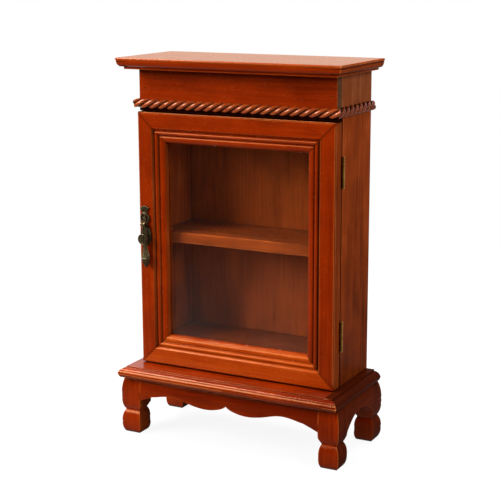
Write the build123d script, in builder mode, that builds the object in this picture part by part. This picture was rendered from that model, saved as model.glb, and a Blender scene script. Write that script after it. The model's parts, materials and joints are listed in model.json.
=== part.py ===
"""A small glazed display cabinet for thimbles, on a moulded base with four shaped feet.

Millimetres. +X is the viewer's right, the door faces -Y and +Z is up. The origin lies on the
floor, under the centre of the whole piece. Every size that can be chosen by itself is named once
in the first section, and every place is worked out from those sizes in the second.
"""

from build123d import *
import math
import os

os.makedirs("parts", exist_ok=True)

# ------------------------------------------------------------------ driving sizes: the case
case_width = 198.5  # over the outer faces of the two side panels
case_depth = 66.4  # a side panel, front edge to back edge
case_height = 280.1  # from the plinth board up to the top board
side_thickness = 11.5
shelf_thickness = 10.5
floor_rise = 23.3  # top of the bottom board above the plinth board
shelf_rise = 127.3  # top of the shelf above the plinth board
shelf_setback = 5.0  # shelf's front edge behind the case's front edges
ceiling_lap = 2.5  # how far the inner top board stands up behind the frieze
back_thickness = 3.5
back_rebate = 6.0  # width of the rebate that the back panel lies in
back_play = 0.2
edge_round = 0.6  # softened edges of the boards
shelf_round = 1.6

# ------------------------------------------------------------------ driving sizes: the top
top_thickness = 10.5
top_side_overhang = 12.55  # beyond the side panels
top_nosing = 17.6  # in front of the door's face
top_edge = 1.9  # flat band round the top edge
top_quirk = 0.7  # groove under that band
top_ovolo_width = 3.9
top_step = 1.3
top_fillet = 2.3  # narrow band at the underside
frieze_height = 38.8
frieze_thickness = 9.5

# ------------------------------------------------------------------ driving sizes: the rope
rope_radius = 4.4
rope_standoff = 0.8  # the rope's axis in front of the face it is glued to
rope_rise = 6.8  # the rope's axis above the frieze's lower edge
rope_strands = 3
rope_lead = 28.5  # length of one full turn of a strand

# ------------------------------------------------------------------ driving sizes: the door
door_thickness = 12.0
door_gap = 1.0  # between the door's back and the case's front edges
door_overhang = 0.75  # beyond each side panel
door_gap_below = 1.0
door_gap_above = 0.8
member_width = 28.3  # outer edge to sight edge
flat_width = 14.4  # the flat band round the outside
door_round = 1.0
slope_width = 2.4  # the groove beside the flat band: a slope, then the outer bead's foot
slope_depth = 2.8
outer_bead_width = 4.0
outer_bead_height = 1.9
bead_groove_width = 0.6
bead_groove_depth = 0.5
inner_bead_crest = 2.0  # from the inner bead's outer foot to its crest
inner_bead_height = 1.0
sight_depth = 7.0  # the inner bead's foot behind the door's face
glass_depth = 8.0  # the glass's front face behind the door's face
glass_thickness = 2.0
rebate_width = 6.0
glass_play = 0.8
retainer_play = 0.3
retainer_round = 0.6

# ------------------------------------------------------------------ driving sizes: the base
plinth_thickness = 11.0
plinth_side_overhang = 14.05  # beyond the side panels
plinth_nosing = 24.1  # in front of the door's face
plinth_ovolo_width = 6.4
plinth_ovolo_height = 5.4
plinth_step = 1.5
plinth_nose = 0.7
plinth_quirk = 0.6
plinth_bead = 3.2
leg_height = 55.7
leg_width = 20.4
leg_front_inset = 6.4  # front legs' knees behind the plinth board's front edge
leg_back_overhang = 3.4  # rear legs' knees behind the case's back
knee_height = 37.0  # where the knee stands out furthest
knee_inset = 3.2  # how far the leg's top lies inside the knee
ankle_height = 22.5
ankle_inset = 2.8
ankle_band = 0.7
foot_height = 11.5  # where the foot stands out furthest
sole_inset = 2.7
inner_foot_inset = 0.8
inner_knee_height = 28.0
apron_thickness = 10.0
cusp_height = 42.6  # point at the middle of the front apron
lobe_height = 36.4
lobe_reach = 20.0
crest_height = 42.4
crest_reach = 60.0
shoulder_height = 33.6  # front apron's lower edge where it meets a leg
arch_height = 44.0  # top of a side apron's arch
arch_spring = 31.0  # foot of that arch
back_rail_thickness = 8.0
back_rail_height = 15.7

# ------------------------------------------------------------------ driving sizes: the hinges
hinge_length = 27.2
lower_hinge_inset = 47.5  # hinge's middle above the door's lower edge
upper_hinge_inset = 44.3  # hinge's middle below the door's upper edge
knuckle_count = 5
knuckle_gap = 0.2
barrel_radius = 1.35
barrel_clearance = 0.25
hinge_pin_head = 0.5
hinge_pin_radius = 0.7
leaf_thickness = 0.8
leaf_width = 10.5
leaf_play = 0.1
recess_play = 0.1
screw_spacing = 14.0
screw_edge = 4.3  # from a leaf's inner edge to its screws
screw_head_radius = 1.7
screw_head_depth = 0.75
screw_radius = 0.8
screw_length = 8.0

# ------------------------------------------------------------------ driving sizes: the pull
pull_inset = 8.3  # the plate's lower end in from the door's edge
pull_rise = 114.6  # and above the door's lower edge
pull_lean = -3.5  # degrees about +Y: the pull is nailed on a little askew, top to the left
plate_thickness = 1.8
shield_half_width = 5.6
shield_half_height = 9.4
neck_width = 4.6
ring_radius = 4.9
ring_hole = 3.3
ring_rise = 25.9  # the ring's centre above the plate's lower end
petal_radius = 0.85
petal_circle = 1.25
petal_count = 5
boss_radius = 1.9
crown_rise = 30.5  # where the crown's leaves spring from
crown_leaf_length = 7.2
crown_leaf_width = 2.2
crown_leaf_count = 5
crown_spread = 20.0  # degrees between two leaves
pivot_rise = 20.8  # pivot above the plate's lower end
pivot_standoff = 5.5  # pivot in front of the door's face
pivot_radius = 0.6
pivot_clearance = 0.07
pivot_overhang = 0.3
ear_thickness = 0.9
ear_radius = 1.6
ear_play = 0.12
shank_width = 2.4
shank_thickness = 1.8
rosette_drop = 14.0  # rosette's centre below the pivot
rosette_radius = 5.2
rosette_back = 6.0  # rosette's back in front of the door's face
rosette_thickness = 2.4
rosette_rim = 0.9
rosette_dish = 0.8
rosette_petal_count = 8
rosette_petal_radius = 0.95
rosette_petal_circle = 3.1
bell_standoff = 4.8
bell_top_radius = 1.8
bell_waist_radius = 2.9
bell_radius = 4.4
bell_band_drop = 31.7  # upper edge of the bell's band below the pivot
bell_band = 1.8
bell_groove = 0.6
acorn_length = 7.6

# ------------------------------------------------------------------ driving sizes: fixings
brad_radius = 0.6
brad_length = 20.0
brad_set = 1.2  # how deep a brad's head is punched below the surface
frieze_brad_drop = 17.6
shelf_brad_front = 13.3
shelf_brad_back = 55.0
pin_radius = 0.6
pin_head_radius = 1.3
pin_head_depth = 0.6
pin_length = 8.0
pin_rows = 4
dowel_radius = 3.0
dowel_length = 16.0
dowel_end_play = 0.5
dowel_front = 13.3  # from a side panel's front edge
dowel_back = 53.1
peg_clearance = 0.05  # round every brad, pin, dowel and screw
plate_nail_radius = 0.5
plate_nail_head = 1.0
plate_nail_head_depth = 0.5
plate_nail_length = 6.0
plate_nail_rise = 2.4
catch_radius = 3.0
magnet_depth = 4.0
strike_thickness = 1.5

# ------------------------------------------------------------------ places
plinth_width = case_width + 2 * plinth_side_overhang
total_depth = plinth_nosing + door_thickness + door_gap + case_depth + leg_back_overhang
y_back = total_depth / 2 - leg_back_overhang
y_case = y_back - case_depth
y_door_back = y_case - door_gap
y_door = y_door_back - door_thickness
y_frieze = y_case - frieze_thickness
y_back_panel = y_back - back_thickness

z_plinth = leg_height
z_case = z_plinth + plinth_thickness
z_floor = z_case + floor_rise
z_shelf = z_case + shelf_rise
z_top = z_case + case_height
z_total = z_top + top_thickness
z_frieze = z_top - frieze_height
z_ceiling = z_frieze + ceiling_lap - shelf_thickness
z_door = z_case + door_gap_below
z_door_top = z_frieze - door_gap_above

x_side = case_width / 2
x_inner = x_side - side_thickness
x_side_middle = x_side - side_thickness / 2
x_door = x_side + door_overhang
x_plinth = plinth_width / 2
x_leg = x_plinth - leg_width
door_height = z_door_top - z_door
door_middle = z_door + door_height / 2

front_knee = total_depth / 2 - leg_front_inset
back_knee = total_depth / 2
leg_middles = (leg_width / 2 - front_knee, back_knee - leg_width / 2)

x_hinge = x_door + barrel_clearance + barrel_radius
y_hinge = (y_case + y_door_back) / 2
hinge_middles = {"lower": z_door + lower_hinge_inset, "upper": z_door_top - upper_hinge_inset}

x_pull = pull_inset - x_door
z_pull = z_door + pull_rise

UP = Vector(0, 0, 1)
RIGHT = Vector(1, 0, 0)
LEFT = Vector(-1, 0, 0)
FRONT = Vector(0, -1, 0)
BACK = Vector(0, 1, 0)
pull_place = Pos(x_pull, y_door, z_pull) * Rot(0, pull_lean, 0)
REACH = plinth_width + total_depth + z_total  # longer than any piece, for cutting right through


# ------------------------------------------------------------------ helpers
def elevation(outward, origin=(0, 0, 0)):
    """Upright plane whose local x points outward and whose local y points up."""
    return Plane(origin=origin, x_dir=outward, z_dir=outward.cross(UP))


def block(low, high, mode=Mode.ADD):
    """A square-edged block between two opposite corners, in the current part."""
    size = [b - a for a, b in zip(low, high)]
    middle = [(a + b) / 2 for a, b in zip(low, high)]
    with Locations(tuple(middle)):
        Box(*size, mode=mode)


def facing(x, y, z, outward):
    """A place at a point, with its own z axis pointing outward."""
    return Plane(origin=(x, y, z), z_dir=outward).location


def pegs(places, radius, length, head_radius=0.0, head_depth=0.0):
    """Round pins that start at the places and run inward, with countersunk heads if asked."""
    with BuildPart() as made:
        with Locations(*places):
            Cylinder(radius, length, align=(Align.CENTER, Align.CENTER, Align.MAX))
            if head_radius > radius:
                Cone(radius, head_radius, head_depth, align=(Align.CENTER, Align.CENTER, Align.MAX))
    return made.part


def peg_holes(places, radius, length, head_radius=0.0, head_depth=0.0, mouth=0.0, end_play=0.0):
    """The holes that such pins lie in: mouth is how far the hole goes on outward."""
    starts = [place * Pos(0, 0, mouth + end_play) for place in places]
    wide_head = head_radius + peg_clearance if head_radius else 0.0
    return pegs(starts, radius + peg_clearance, length + mouth + 2 * end_play, wide_head, head_depth)


def save(part, name):
    """Label a finished piece and write it."""
    part.label = name
    export_step(part, f"parts/{name}.step")


# ------------------------------------------------------------------ outlines used more than once
def top_outline(inner, tip):
    """Half section of the top board: flat top, small quirk, ovolo, step and narrow fillet."""
    quirk_top = z_total - top_edge
    ovolo_top = quirk_top - top_quirk
    ovolo_foot = z_top + top_fillet
    with BuildSketch(Plane.XY) as outline:
        with BuildLine():
            Polyline(
                (inner, z_top),
                (inner, z_total),
                (tip - top_quirk, z_total),
                (tip, z_total - top_quirk),
                (tip, quirk_top),
                (tip - top_quirk, quirk_top),
                (tip - top_quirk, ovolo_top),
            )
            EllipticalCenterArc(
                (tip - top_quirk - top_ovolo_width, ovolo_top), top_ovolo_width, ovolo_top - ovolo_foot, -90
            )
            Polyline(
                (tip - top_quirk - top_ovolo_width, ovolo_foot),
                (tip - top_quirk - top_ovolo_width - top_step, ovolo_foot),
                (tip - top_quirk - top_ovolo_width - top_step, z_top),
                (inner, z_top),
            )
        make_face()
    return outline.sketch_local


def plinth_outline(inner, tip):
    """Half section of the plinth board: flat top, step, broad ovolo, nose and lower bead."""
    ovolo_top = z_case - plinth_step
    nose_top = ovolo_top - plinth_ovolo_height
    bead_top = nose_top - plinth_nose
    bead_tip = tip - plinth_quirk
    with BuildSketch(Plane.XY) as outline:
        with BuildLine():
            Polyline(
                (inner, z_plinth),
                (inner, z_case),
                (tip - plinth_ovolo_width, z_case),
                (tip - plinth_ovolo_width, ovolo_top),
            )
            EllipticalCenterArc((tip - plinth_ovolo_width, nose_top), plinth_ovolo_width, plinth_ovolo_height)
            Polyline((tip, nose_top), (tip, bead_top), (bead_tip, bead_top))
            EllipticalCenterArc((bead_tip - plinth_bead, bead_top), plinth_bead, bead_top - z_plinth, -90)
            Line((bead_tip - plinth_bead, z_plinth), (inner, z_plinth))
        make_face()
    return outline.sketch_local


def knee_curve(knee):
    """The convex line from the top of a leg or apron out to the knee, where it is upright."""
    knee_rise = leg_height - knee_height
    Spline(
        (knee - knee_inset, leg_height),
        (knee - knee_inset * 0.35, knee_height + knee_rise * 0.66),
        (knee, knee_height),
        tangents=((1, -2), (0, -1)),
    )


def leg_outline(knee):
    """Side view of a leg: knee, pinched ankle and round foot outside, the same foot inside."""
    inner = knee - leg_width
    ankle_top = ankle_height + ankle_band / 2
    ankle_low = ankle_height - ankle_band / 2
    with BuildSketch(Plane.XY) as outline:
        with BuildLine():
            knee_curve(knee)
            Spline((knee, knee_height), (knee - ankle_inset, ankle_top), tangents=((0, -1), (-1, -1.3)))
            Line((knee - ankle_inset, ankle_top), (knee - ankle_inset, ankle_low))
            Spline(
                (knee - ankle_inset, ankle_low),
                (knee, foot_height),
                (knee - sole_inset, 0),
                tangents=((1, -1.6), (0, -1), (-1, -1.2)),
            )
            Line((knee - sole_inset, 0), (inner + sole_inset, 0))
            Spline(
                (inner + sole_inset, 0),
                (inner + inner_foot_inset, foot_height),
                (inner + ankle_inset, ankle_low),
                tangents=((-1, 1.2), (0, 1), (1, 1.6)),
            )
            Polyline(
                (inner + ankle_inset, ankle_low),
                (inner + ankle_inset, ankle_top),
                (inner, inner_knee_height),
                (inner, leg_height),
                (knee - knee_inset, leg_height),
            )
        make_face()
    return outline.sketch_local


def apron_outline(knee):
    """Section of an apron: its face follows the legs' knees."""
    with BuildSketch(Plane.XY) as outline:
        with BuildLine():
            knee_curve(knee)
            Polyline(
                (knee, knee_height),
                (knee, 0),
                (knee - apron_thickness, 0),
                (knee - apron_thickness, leg_height),
                (knee - knee_inset, leg_height),
            )
        make_face()
    return outline.sketch_local


def rope(length, outward):
    """A left-handed twist of strands along +X or +Y, from its plane, as long as asked."""
    strand_radius = rope_radius / (1 + 1 / math.sin(math.pi / rope_strands))
    strand_circle = rope_radius - strand_radius
    with BuildSketch(Plane(origin=(0, 0, 0), z_dir=outward)) as section:
        with PolarLocations(strand_circle, rope_strands):
            Circle(strand_radius)
        Circle(strand_circle)
    return Solid.extrude_linear_with_rotation(
        section.sketch.faces()[0], (0, 0, 0), outward * length, -360 * length / rope_lead
    )


# ------------------------------------------------------------------ where the fixings go
frieze_brad_places = [
    facing(side * x_side_middle, y_frieze + brad_set, z_top - frieze_brad_drop, FRONT) for side in (-1, 1)
]
shelf_brad_places = [
    facing(side.X * (x_side - brad_set), y_case + inset, z_shelf - shelf_thickness / 2, side)
    for side in (LEFT, RIGHT)
    for inset in (shelf_brad_front, shelf_brad_back)
]
back_pin_places = [
    facing(
        side * (x_inner + back_rebate / 2), y_back, z_case + case_height * (row + 0.5) / pin_rows, BACK
    )
    for side in (-1, 1)
    for row in range(pin_rows)
]
leg_dowel_places = [
    facing(side * (x_plinth - leg_width / 2), y, z_plinth + dowel_length / 2, UP)
    for side in (-1, 1)
    for y in leg_middles
]
case_dowel_places = [
    facing(side * x_side_middle, y_case + inset, z_joint + dowel_length / 2, UP)
    for side in (-1, 1)
    for inset in (dowel_front, dowel_back)
    for z_joint in (z_case, z_top)
]
x_screw = x_hinge - leaf_width + screw_edge
screw_heights = [
    middle + side * screw_spacing / 2 for middle in hinge_middles.values() for side in (-1, 1)
]
case_screw_places = [facing(x_screw, y_hinge + leaf_play / 2, z, FRONT) for z in screw_heights]
door_screw_places = [facing(x_screw, y_hinge - leaf_play / 2, z, BACK) for z in screw_heights]
plate_nail_seats = [facing(0, -plate_thickness, rise, FRONT) for rise in (plate_nail_rise, crown_rise)]
plate_nail_places = [pull_place * seat for seat in plate_nail_seats]
magnet_place = [facing(-x_side_middle, y_case, door_middle, FRONT)]
strike_place = [facing(-x_side_middle, y_door_back, door_middle, BACK)]

shelf_brad_holes = peg_holes(shelf_brad_places, brad_radius, brad_length, mouth=brad_set)
frieze_brad_holes = peg_holes(frieze_brad_places, brad_radius, brad_length, mouth=brad_set)
back_pin_holes = peg_holes(back_pin_places, pin_radius, pin_length, pin_head_radius, pin_head_depth)
leg_dowel_holes = peg_holes(leg_dowel_places, dowel_radius, dowel_length, end_play=dowel_end_play)
case_dowel_holes = peg_holes(case_dowel_places, dowel_radius, dowel_length, end_play=dowel_end_play)
case_screw_holes = peg_holes(
    case_screw_places, screw_radius, screw_length, screw_head_radius, screw_head_depth
)
door_screw_holes = peg_holes(
    door_screw_places, screw_radius, screw_length, screw_head_radius, screw_head_depth
)
plate_nail_holes = peg_holes(
    plate_nail_places, plate_nail_radius, plate_nail_length, plate_nail_head, plate_nail_head_depth
)
magnet_hole = peg_holes(magnet_place, catch_radius, magnet_depth)
strike_hole = peg_holes(strike_place, catch_radius, strike_thickness)


# ------------------------------------------------------------------ the case
def side_panel(outward):
    """A side panel with the rebate that the back panel lies in and the holes for its fixings."""
    sign = outward.X
    low_x, high_x = sorted((sign * x_inner, sign * x_side))
    rebate_low, rebate_high = sorted((sign * x_inner, sign * (x_inner + back_rebate)))
    with BuildPart() as panel:
        block((low_x, y_case, z_case), (high_x, y_back, z_top))
        outer_edges = panel.edges().filter_by(Axis.Z).filter_by(
            lambda edge: sign * edge.center().X > x_inner and edge.center().Y > y_case
        )
        fillet(outer_edges.sort_by(Axis.Y)[-1:], edge_round)
        block(
            (rebate_low, y_back_panel, z_case), (rebate_high, y_back, z_top), mode=Mode.SUBTRACT
        )
        for holes in (shelf_brad_holes, frieze_brad_holes, back_pin_holes, case_dowel_holes):
            add(holes, mode=Mode.SUBTRACT)
    return panel.part


def leaf_recess(face_y, depth_y, middle):
    """The shallow recess for a hinge leaf, open at the outer edge."""
    half = hinge_length / 2 + recess_play
    low_y, high_y = sorted((face_y, depth_y))
    block(
        (x_hinge - leaf_width - recess_play, low_y, middle - half),
        (x_hinge, high_y, middle + half),
        mode=Mode.SUBTRACT,
    )


leaf_back = leaf_play / 2 + leaf_thickness  # a leaf's wood side, from the hinge's axis

with BuildPart() as side_panel_left:
    add(side_panel(LEFT))
    add(magnet_hole, mode=Mode.SUBTRACT)
save(side_panel_left.part, "side_panel_left")

with BuildPart() as side_panel_right:
    add(side_panel(RIGHT))
    for middle in hinge_middles.values():
        leaf_recess(y_case, y_hinge + leaf_back, middle)
    add(case_screw_holes, mode=Mode.SUBTRACT)
save(side_panel_right.part, "side_panel_right")

with BuildPart() as back_panel:
    back_reach = x_inner + back_rebate - back_play
    block((-back_reach, y_back_panel, z_case), (back_reach, y_back, z_top))
    add(back_pin_holes, mode=Mode.SUBTRACT)
save(back_panel.part, "back_panel")

with BuildPart() as bottom_board:
    block((-x_inner, y_case, z_floor - shelf_thickness), (x_inner, y_back_panel, z_floor))
save(bottom_board.part, "bottom_board")

with BuildPart() as bottom_rail:
    block((-x_inner, y_case, z_case), (x_inner, y_case + shelf_thickness, z_floor - shelf_thickness))
save(bottom_rail.part, "bottom_rail")

with BuildPart() as ceiling_board:
    block((-x_inner, y_case, z_ceiling), (x_inner, y_back_panel, z_ceiling + shelf_thickness))
save(ceiling_board.part, "ceiling_board")

with BuildPart() as shelf:
    block((-x_inner, y_case + shelf_setback, z_shelf - shelf_thickness), (x_inner, y_back_panel, z_shelf))
    front_edges = shelf.edges().filter_by(Axis.X).group_by(Axis.Y)[0]
    fillet(front_edges.sort_by(Axis.Z)[-1:], shelf_round)
    fillet(front_edges.sort_by(Axis.Z)[:1], edge_round)
    add(shelf_brad_holes, mode=Mode.SUBTRACT)
save(shelf.part, "shelf")

with BuildPart() as frieze_board:
    block((-x_side, y_frieze, z_frieze), (x_side, y_case, z_top))
    add(frieze_brad_holes, mode=Mode.SUBTRACT)
save(frieze_board.part, "frieze_board")

with BuildPart() as top_board:
    with BuildSketch(elevation(RIGHT)):
        add(top_outline(0, x_side + top_side_overhang))
        mirror(about=Plane.YZ)
    extrude(amount=REACH, both=True)
    with BuildSketch(elevation(FRONT)):
        add(top_outline(-y_back, top_nosing - y_door))
    extrude(amount=REACH, both=True, mode=Mode.INTERSECT)
    add(case_dowel_holes, mode=Mode.SUBTRACT)
save(top_board.part, "top_board")

# ------------------------------------------------------------------ the rope moulding
rope_reach = rope_radius + rope_standoff  # how far the rope stands off its board
rope_axis_z = z_frieze + rope_rise
y_rope = y_frieze - rope_standoff
x_rope = x_side + rope_standoff

with BuildPart() as rope_moulding_front:
    add(Pos(-x_side - rope_reach, y_rope, rope_axis_z) * rope(2 * (x_side + rope_reach), RIGHT))
    with BuildSketch(Plane.XY.offset(z_frieze)):
        Polygon(
            (-x_side, y_frieze),
            (x_side, y_frieze),
            (x_side + rope_reach, y_frieze - rope_reach),
            (-x_side - rope_reach, y_frieze - rope_reach),
            align=None,
        )
    extrude(amount=frieze_height, mode=Mode.INTERSECT)
save(rope_moulding_front.part, "rope_moulding_front")

for side_name, outward in (("left", LEFT), ("right", RIGHT)):
    sign = outward.X
    with BuildPart() as rope_moulding_side:
        start_y = y_frieze - rope_reach
        add(Pos(sign * x_rope, start_y, rope_axis_z) * rope(y_back - start_y, BACK))
        with BuildSketch(Plane.XY.offset(z_frieze)):
            Polygon(
                (sign * x_side, y_frieze),
                (sign * (x_side + rope_reach), start_y),
                (sign * (x_side + rope_reach), y_back),
                (sign * x_side, y_back),
                align=None,
            )
        extrude(amount=frieze_height, mode=Mode.INTERSECT)
    save(rope_moulding_side.part, f"rope_moulding_{side_name}")

# ------------------------------------------------------------------ the base
with BuildPart() as plinth_board:
    with BuildSketch(elevation(RIGHT)):
        add(plinth_outline(0, x_plinth))
        mirror(about=Plane.YZ)
    extrude(amount=REACH, both=True)
    with BuildSketch(elevation(FRONT)):
        add(plinth_outline(-y_back, total_depth / 2))
    extrude(amount=REACH, both=True, mode=Mode.INTERSECT)
    add(leg_dowel_holes, mode=Mode.SUBTRACT)
    add(case_dowel_holes, mode=Mode.SUBTRACT)
save(plinth_board.part, "plinth_board")

for end_name, end, knee in (("front", FRONT, front_knee), ("rear", BACK, back_knee)):
    for side_name, outward in (("left", LEFT), ("right", RIGHT)):
        with BuildPart() as leg:
            with BuildSketch(elevation(outward)):
                add(leg_outline(x_plinth))
            extrude(amount=REACH, both=True)
            with BuildSketch(elevation(end)):
                add(leg_outline(knee))
            extrude(amount=REACH, both=True, mode=Mode.INTERSECT)
            add(leg_dowel_holes, mode=Mode.SUBTRACT)
        save(leg.part, f"leg_{end_name}_{side_name}")

with BuildPart() as apron_front:
    with BuildSketch(elevation(FRONT)):
        add(apron_outline(front_knee))
    extrude(amount=x_leg, both=True)
    with BuildSketch(elevation(RIGHT)):
        with BuildLine():
            Line((0, leg_height), (0, cusp_height))
            Spline(
                (0, cusp_height),
                (lobe_reach * 0.37, cusp_height - (cusp_height - lobe_height) * 0.65),
                (lobe_reach, lobe_height),
                ((lobe_reach + crest_reach) / 2, (lobe_height + crest_height) / 2 - 0.4),
                (crest_reach, crest_height),
                ((crest_reach + x_leg) / 2, crest_height - (crest_height - shoulder_height) * 0.31),
                (x_leg, shoulder_height),
                tangents=((1, -1.1), (1, -0.42)),
            )
            Polyline((x_leg, shoulder_height), (x_leg, leg_height), (0, leg_height))
        make_face()
        mirror(about=Plane.YZ)
    extrude(amount=REACH, both=True, mode=Mode.INTERSECT)
save(apron_front.part, "apron_front")

side_apron_start = leg_width - front_knee
side_apron_end = back_knee - leg_width
side_apron_middle = (side_apron_start + side_apron_end) / 2
for side_name, outward in (("left", LEFT), ("right", RIGHT)):
    with BuildPart() as apron_side:
        with BuildSketch(elevation(outward)):
            add(apron_outline(x_plinth))
        extrude(amount=REACH, both=True)
        with BuildSketch(elevation(BACK)):
            with BuildLine():
                ThreePointArc(
                    (side_apron_start, arch_spring),
                    (side_apron_middle, arch_height),
                    (side_apron_end, arch_spring),
                )
                Polyline(
                    (side_apron_end, arch_spring),
                    (side_apron_end, leg_height),
                    (side_apron_start, leg_height),
                    (side_apron_start, arch_spring),
                )
            make_face()
        extrude(amount=REACH, both=True, mode=Mode.INTERSECT)
    save(apron_side.part, f"apron_{side_name}")

with BuildPart() as base_back_rail:
    block(
        (-x_leg, y_back - back_rail_thickness, z_plinth - back_rail_height), (x_leg, y_back, z_plinth)
    )
save(base_back_rail.part, "base_back_rail")


# ------------------------------------------------------------------ the door
def mitred(outer_middle, inward, length, width, section):
    """A frame member between two mitres. Its section is drawn as (inward, depth) from its edge."""
    along = inward.cross(BACK)
    with BuildPart() as member:
        with BuildSketch(Plane(origin=outer_middle, x_dir=inward, z_dir=along)):
            add(section)
        extrude(amount=length / 2, both=True)
        with BuildSketch(Plane(origin=outer_middle, x_dir=along, z_dir=BACK)):
            Polygon(
                (-length / 2, 0),
                (length / 2, 0),
                (length / 2 - width, width),
                (width - length / 2, width),
                align=None,
            )
        extrude(amount=door_thickness, mode=Mode.INTERSECT)
    return member.part


def door_section():
    """Flat band, slope, outer bead, groove and inner bead, with the glass rebate behind."""
    bead_start = flat_width + slope_width
    bead_end = bead_start + outer_bead_width
    inner_start = bead_end + bead_groove_width
    inner_foot = slope_depth + bead_groove_depth
    crest = inner_start + inner_bead_crest
    crest_depth = inner_foot - inner_bead_height
    with BuildSketch(Plane.XY) as outline:
        with BuildLine():
            RadiusArc((0, door_round), (door_round, 0), door_round)
            Polyline((door_round, 0), (flat_width, 0), (bead_start, slope_depth))
            ThreePointArc(
                (bead_start, slope_depth),
                (bead_start + outer_bead_width * 0.46, slope_depth - outer_bead_height),
                (bead_end, slope_depth),
            )
            Line((bead_end, slope_depth), (inner_start, inner_foot))
            ThreePointArc(
                (inner_start, inner_foot),
                (inner_start + inner_bead_crest * 0.4, inner_foot - inner_bead_height * 0.75),
                (crest, crest_depth),
            )
            EllipticalCenterArc((crest, sight_depth), member_width - crest, sight_depth - crest_depth, -90)
            Polyline(
                (member_width, sight_depth),
                (member_width, glass_depth),
                (member_width - rebate_width, glass_depth),
                (member_width - rebate_width, door_thickness),
                (0, door_thickness),
                (0, door_round),
            )
        make_face()
    return outline.sketch_local


def retainer_section():
    """A flat strip behind the glass, flush with the door's back."""
    glass_back = glass_depth + glass_thickness
    with BuildSketch(Plane.XY) as outline:
        with BuildLine():
            Polyline(
                (0, glass_back),
                (retainer_width, glass_back),
                (retainer_width, door_thickness - retainer_round),
                (retainer_width - retainer_round, door_thickness),
                (0, door_thickness),
                close=True,
            )
        make_face()
    return outline.sketch_local


with BuildPart() as door_stile_left:
    add(mitred((-x_door, y_door, door_middle), RIGHT, door_height, member_width, door_section()))
    add(strike_hole, mode=Mode.SUBTRACT)
    add(plate_nail_holes, mode=Mode.SUBTRACT)
save(door_stile_left.part, "door_stile_left")

with BuildPart() as door_stile_right:
    add(mitred((x_door, y_door, door_middle), LEFT, door_height, member_width, door_section()))
    for middle in hinge_middles.values():
        leaf_recess(y_door_back, y_hinge - leaf_back, middle)
    add(door_screw_holes, mode=Mode.SUBTRACT)
save(door_stile_right.part, "door_stile_right")

with BuildPart() as door_rail_bottom:
    add(mitred((0, y_door, z_door), UP, 2 * x_door, member_width, door_section()))
save(door_rail_bottom.part, "door_rail_bottom")

with BuildPart() as door_rail_top:
    add(mitred((0, y_door, z_door_top), -UP, 2 * x_door, member_width, door_section()))
save(door_rail_top.part, "door_rail_top")

glass_margin = member_width - rebate_width + glass_play
with BuildPart() as door_glass:
    block(
        (glass_margin - x_door, y_door + glass_depth, z_door + glass_margin),
        (x_door - glass_margin, y_door + glass_depth + glass_thickness, z_door_top - glass_margin),
    )
save(door_glass.part, "door_glass")

retainer_margin = member_width - rebate_width + retainer_play
retainer_width = rebate_width - 2 * retainer_play
x_retainer = x_door - retainer_margin
z_retainer = z_door + retainer_margin
z_retainer_top = z_door_top - retainer_margin
retainer_height = z_retainer_top - z_retainer
for name, outer_middle, inward, length in (
    ("left", (-x_retainer, y_door, door_middle), RIGHT, retainer_height),
    ("right", (x_retainer, y_door, door_middle), LEFT, retainer_height),
    ("bottom", (0, y_door, z_retainer), UP, 2 * x_retainer),
    ("top", (0, y_door, z_retainer_top), -UP, 2 * x_retainer),
):
    with BuildPart() as glass_retainer:
        add(mitred(outer_middle, inward, length, retainer_width, retainer_section()))
    save(glass_retainer.part, f"glass_retainer_{name}")

# ------------------------------------------------------------------ the hinges
knuckle_length = (hinge_length - (knuckle_count - 1) * knuckle_gap) / knuckle_count


def hinge_leaf(middle, toward, first_knuckle, screw_holes):
    """One leaf: a flat plate behind the knuckles, and every other knuckle round the pin."""
    low = middle - hinge_length / 2
    near_y, far_y = sorted((y_hinge + toward * leaf_play / 2, y_hinge + toward * leaf_back))
    plate_edge = x_hinge - barrel_radius - knuckle_gap
    with BuildPart() as leaf:
        block((x_hinge - leaf_width, near_y, low), (plate_edge, far_y, low + hinge_length))
        for number in range(first_knuckle, knuckle_count, 2):
            start = low + number * (knuckle_length + knuckle_gap)
            block((plate_edge, near_y, start), (x_hinge, far_y, start + knuckle_length))
            with Locations((x_hinge, y_hinge, start + knuckle_length / 2)):
                Cylinder(barrel_radius, knuckle_length)
        with Locations((x_hinge, y_hinge, middle)):
            Cylinder(hinge_pin_radius + peg_clearance, hinge_length, mode=Mode.SUBTRACT)
        add(screw_holes, mode=Mode.SUBTRACT)
    return leaf.part


for hinge_name, middle in hinge_middles.items():
    save(hinge_leaf(middle, 1, 0, case_screw_holes), f"hinge_{hinge_name}_case_leaf")
    save(hinge_leaf(middle, -1, 1, door_screw_holes), f"hinge_{hinge_name}_door_leaf")
    with BuildPart() as hinge_pin:
        with Locations((x_hinge, y_hinge, middle)):
            Cylinder(hinge_pin_radius, hinge_length)
        for sign in (-1, 1):
            with Locations((x_hinge, y_hinge, middle + sign * (hinge_length + hinge_pin_head) / 2)):
                Cylinder(barrel_radius, hinge_pin_head)
    save(hinge_pin.part, f"hinge_{hinge_name}_pin")

# ------------------------------------------------------------------ the drop pull
# Its pieces are drawn from the lower end of the backplate, on the door's face, and then placed.
z_rosette = pivot_rise - rosette_drop
rosette_face = rosette_back + rosette_thickness - rosette_dish
ear_middle = (shank_width + ear_thickness) / 2 + ear_play
pivot_length = 2 * ear_middle + ear_thickness + 2 * pivot_overhang
pivot_axis = facing(0, -pivot_standoff, pivot_rise, RIGHT)

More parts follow.
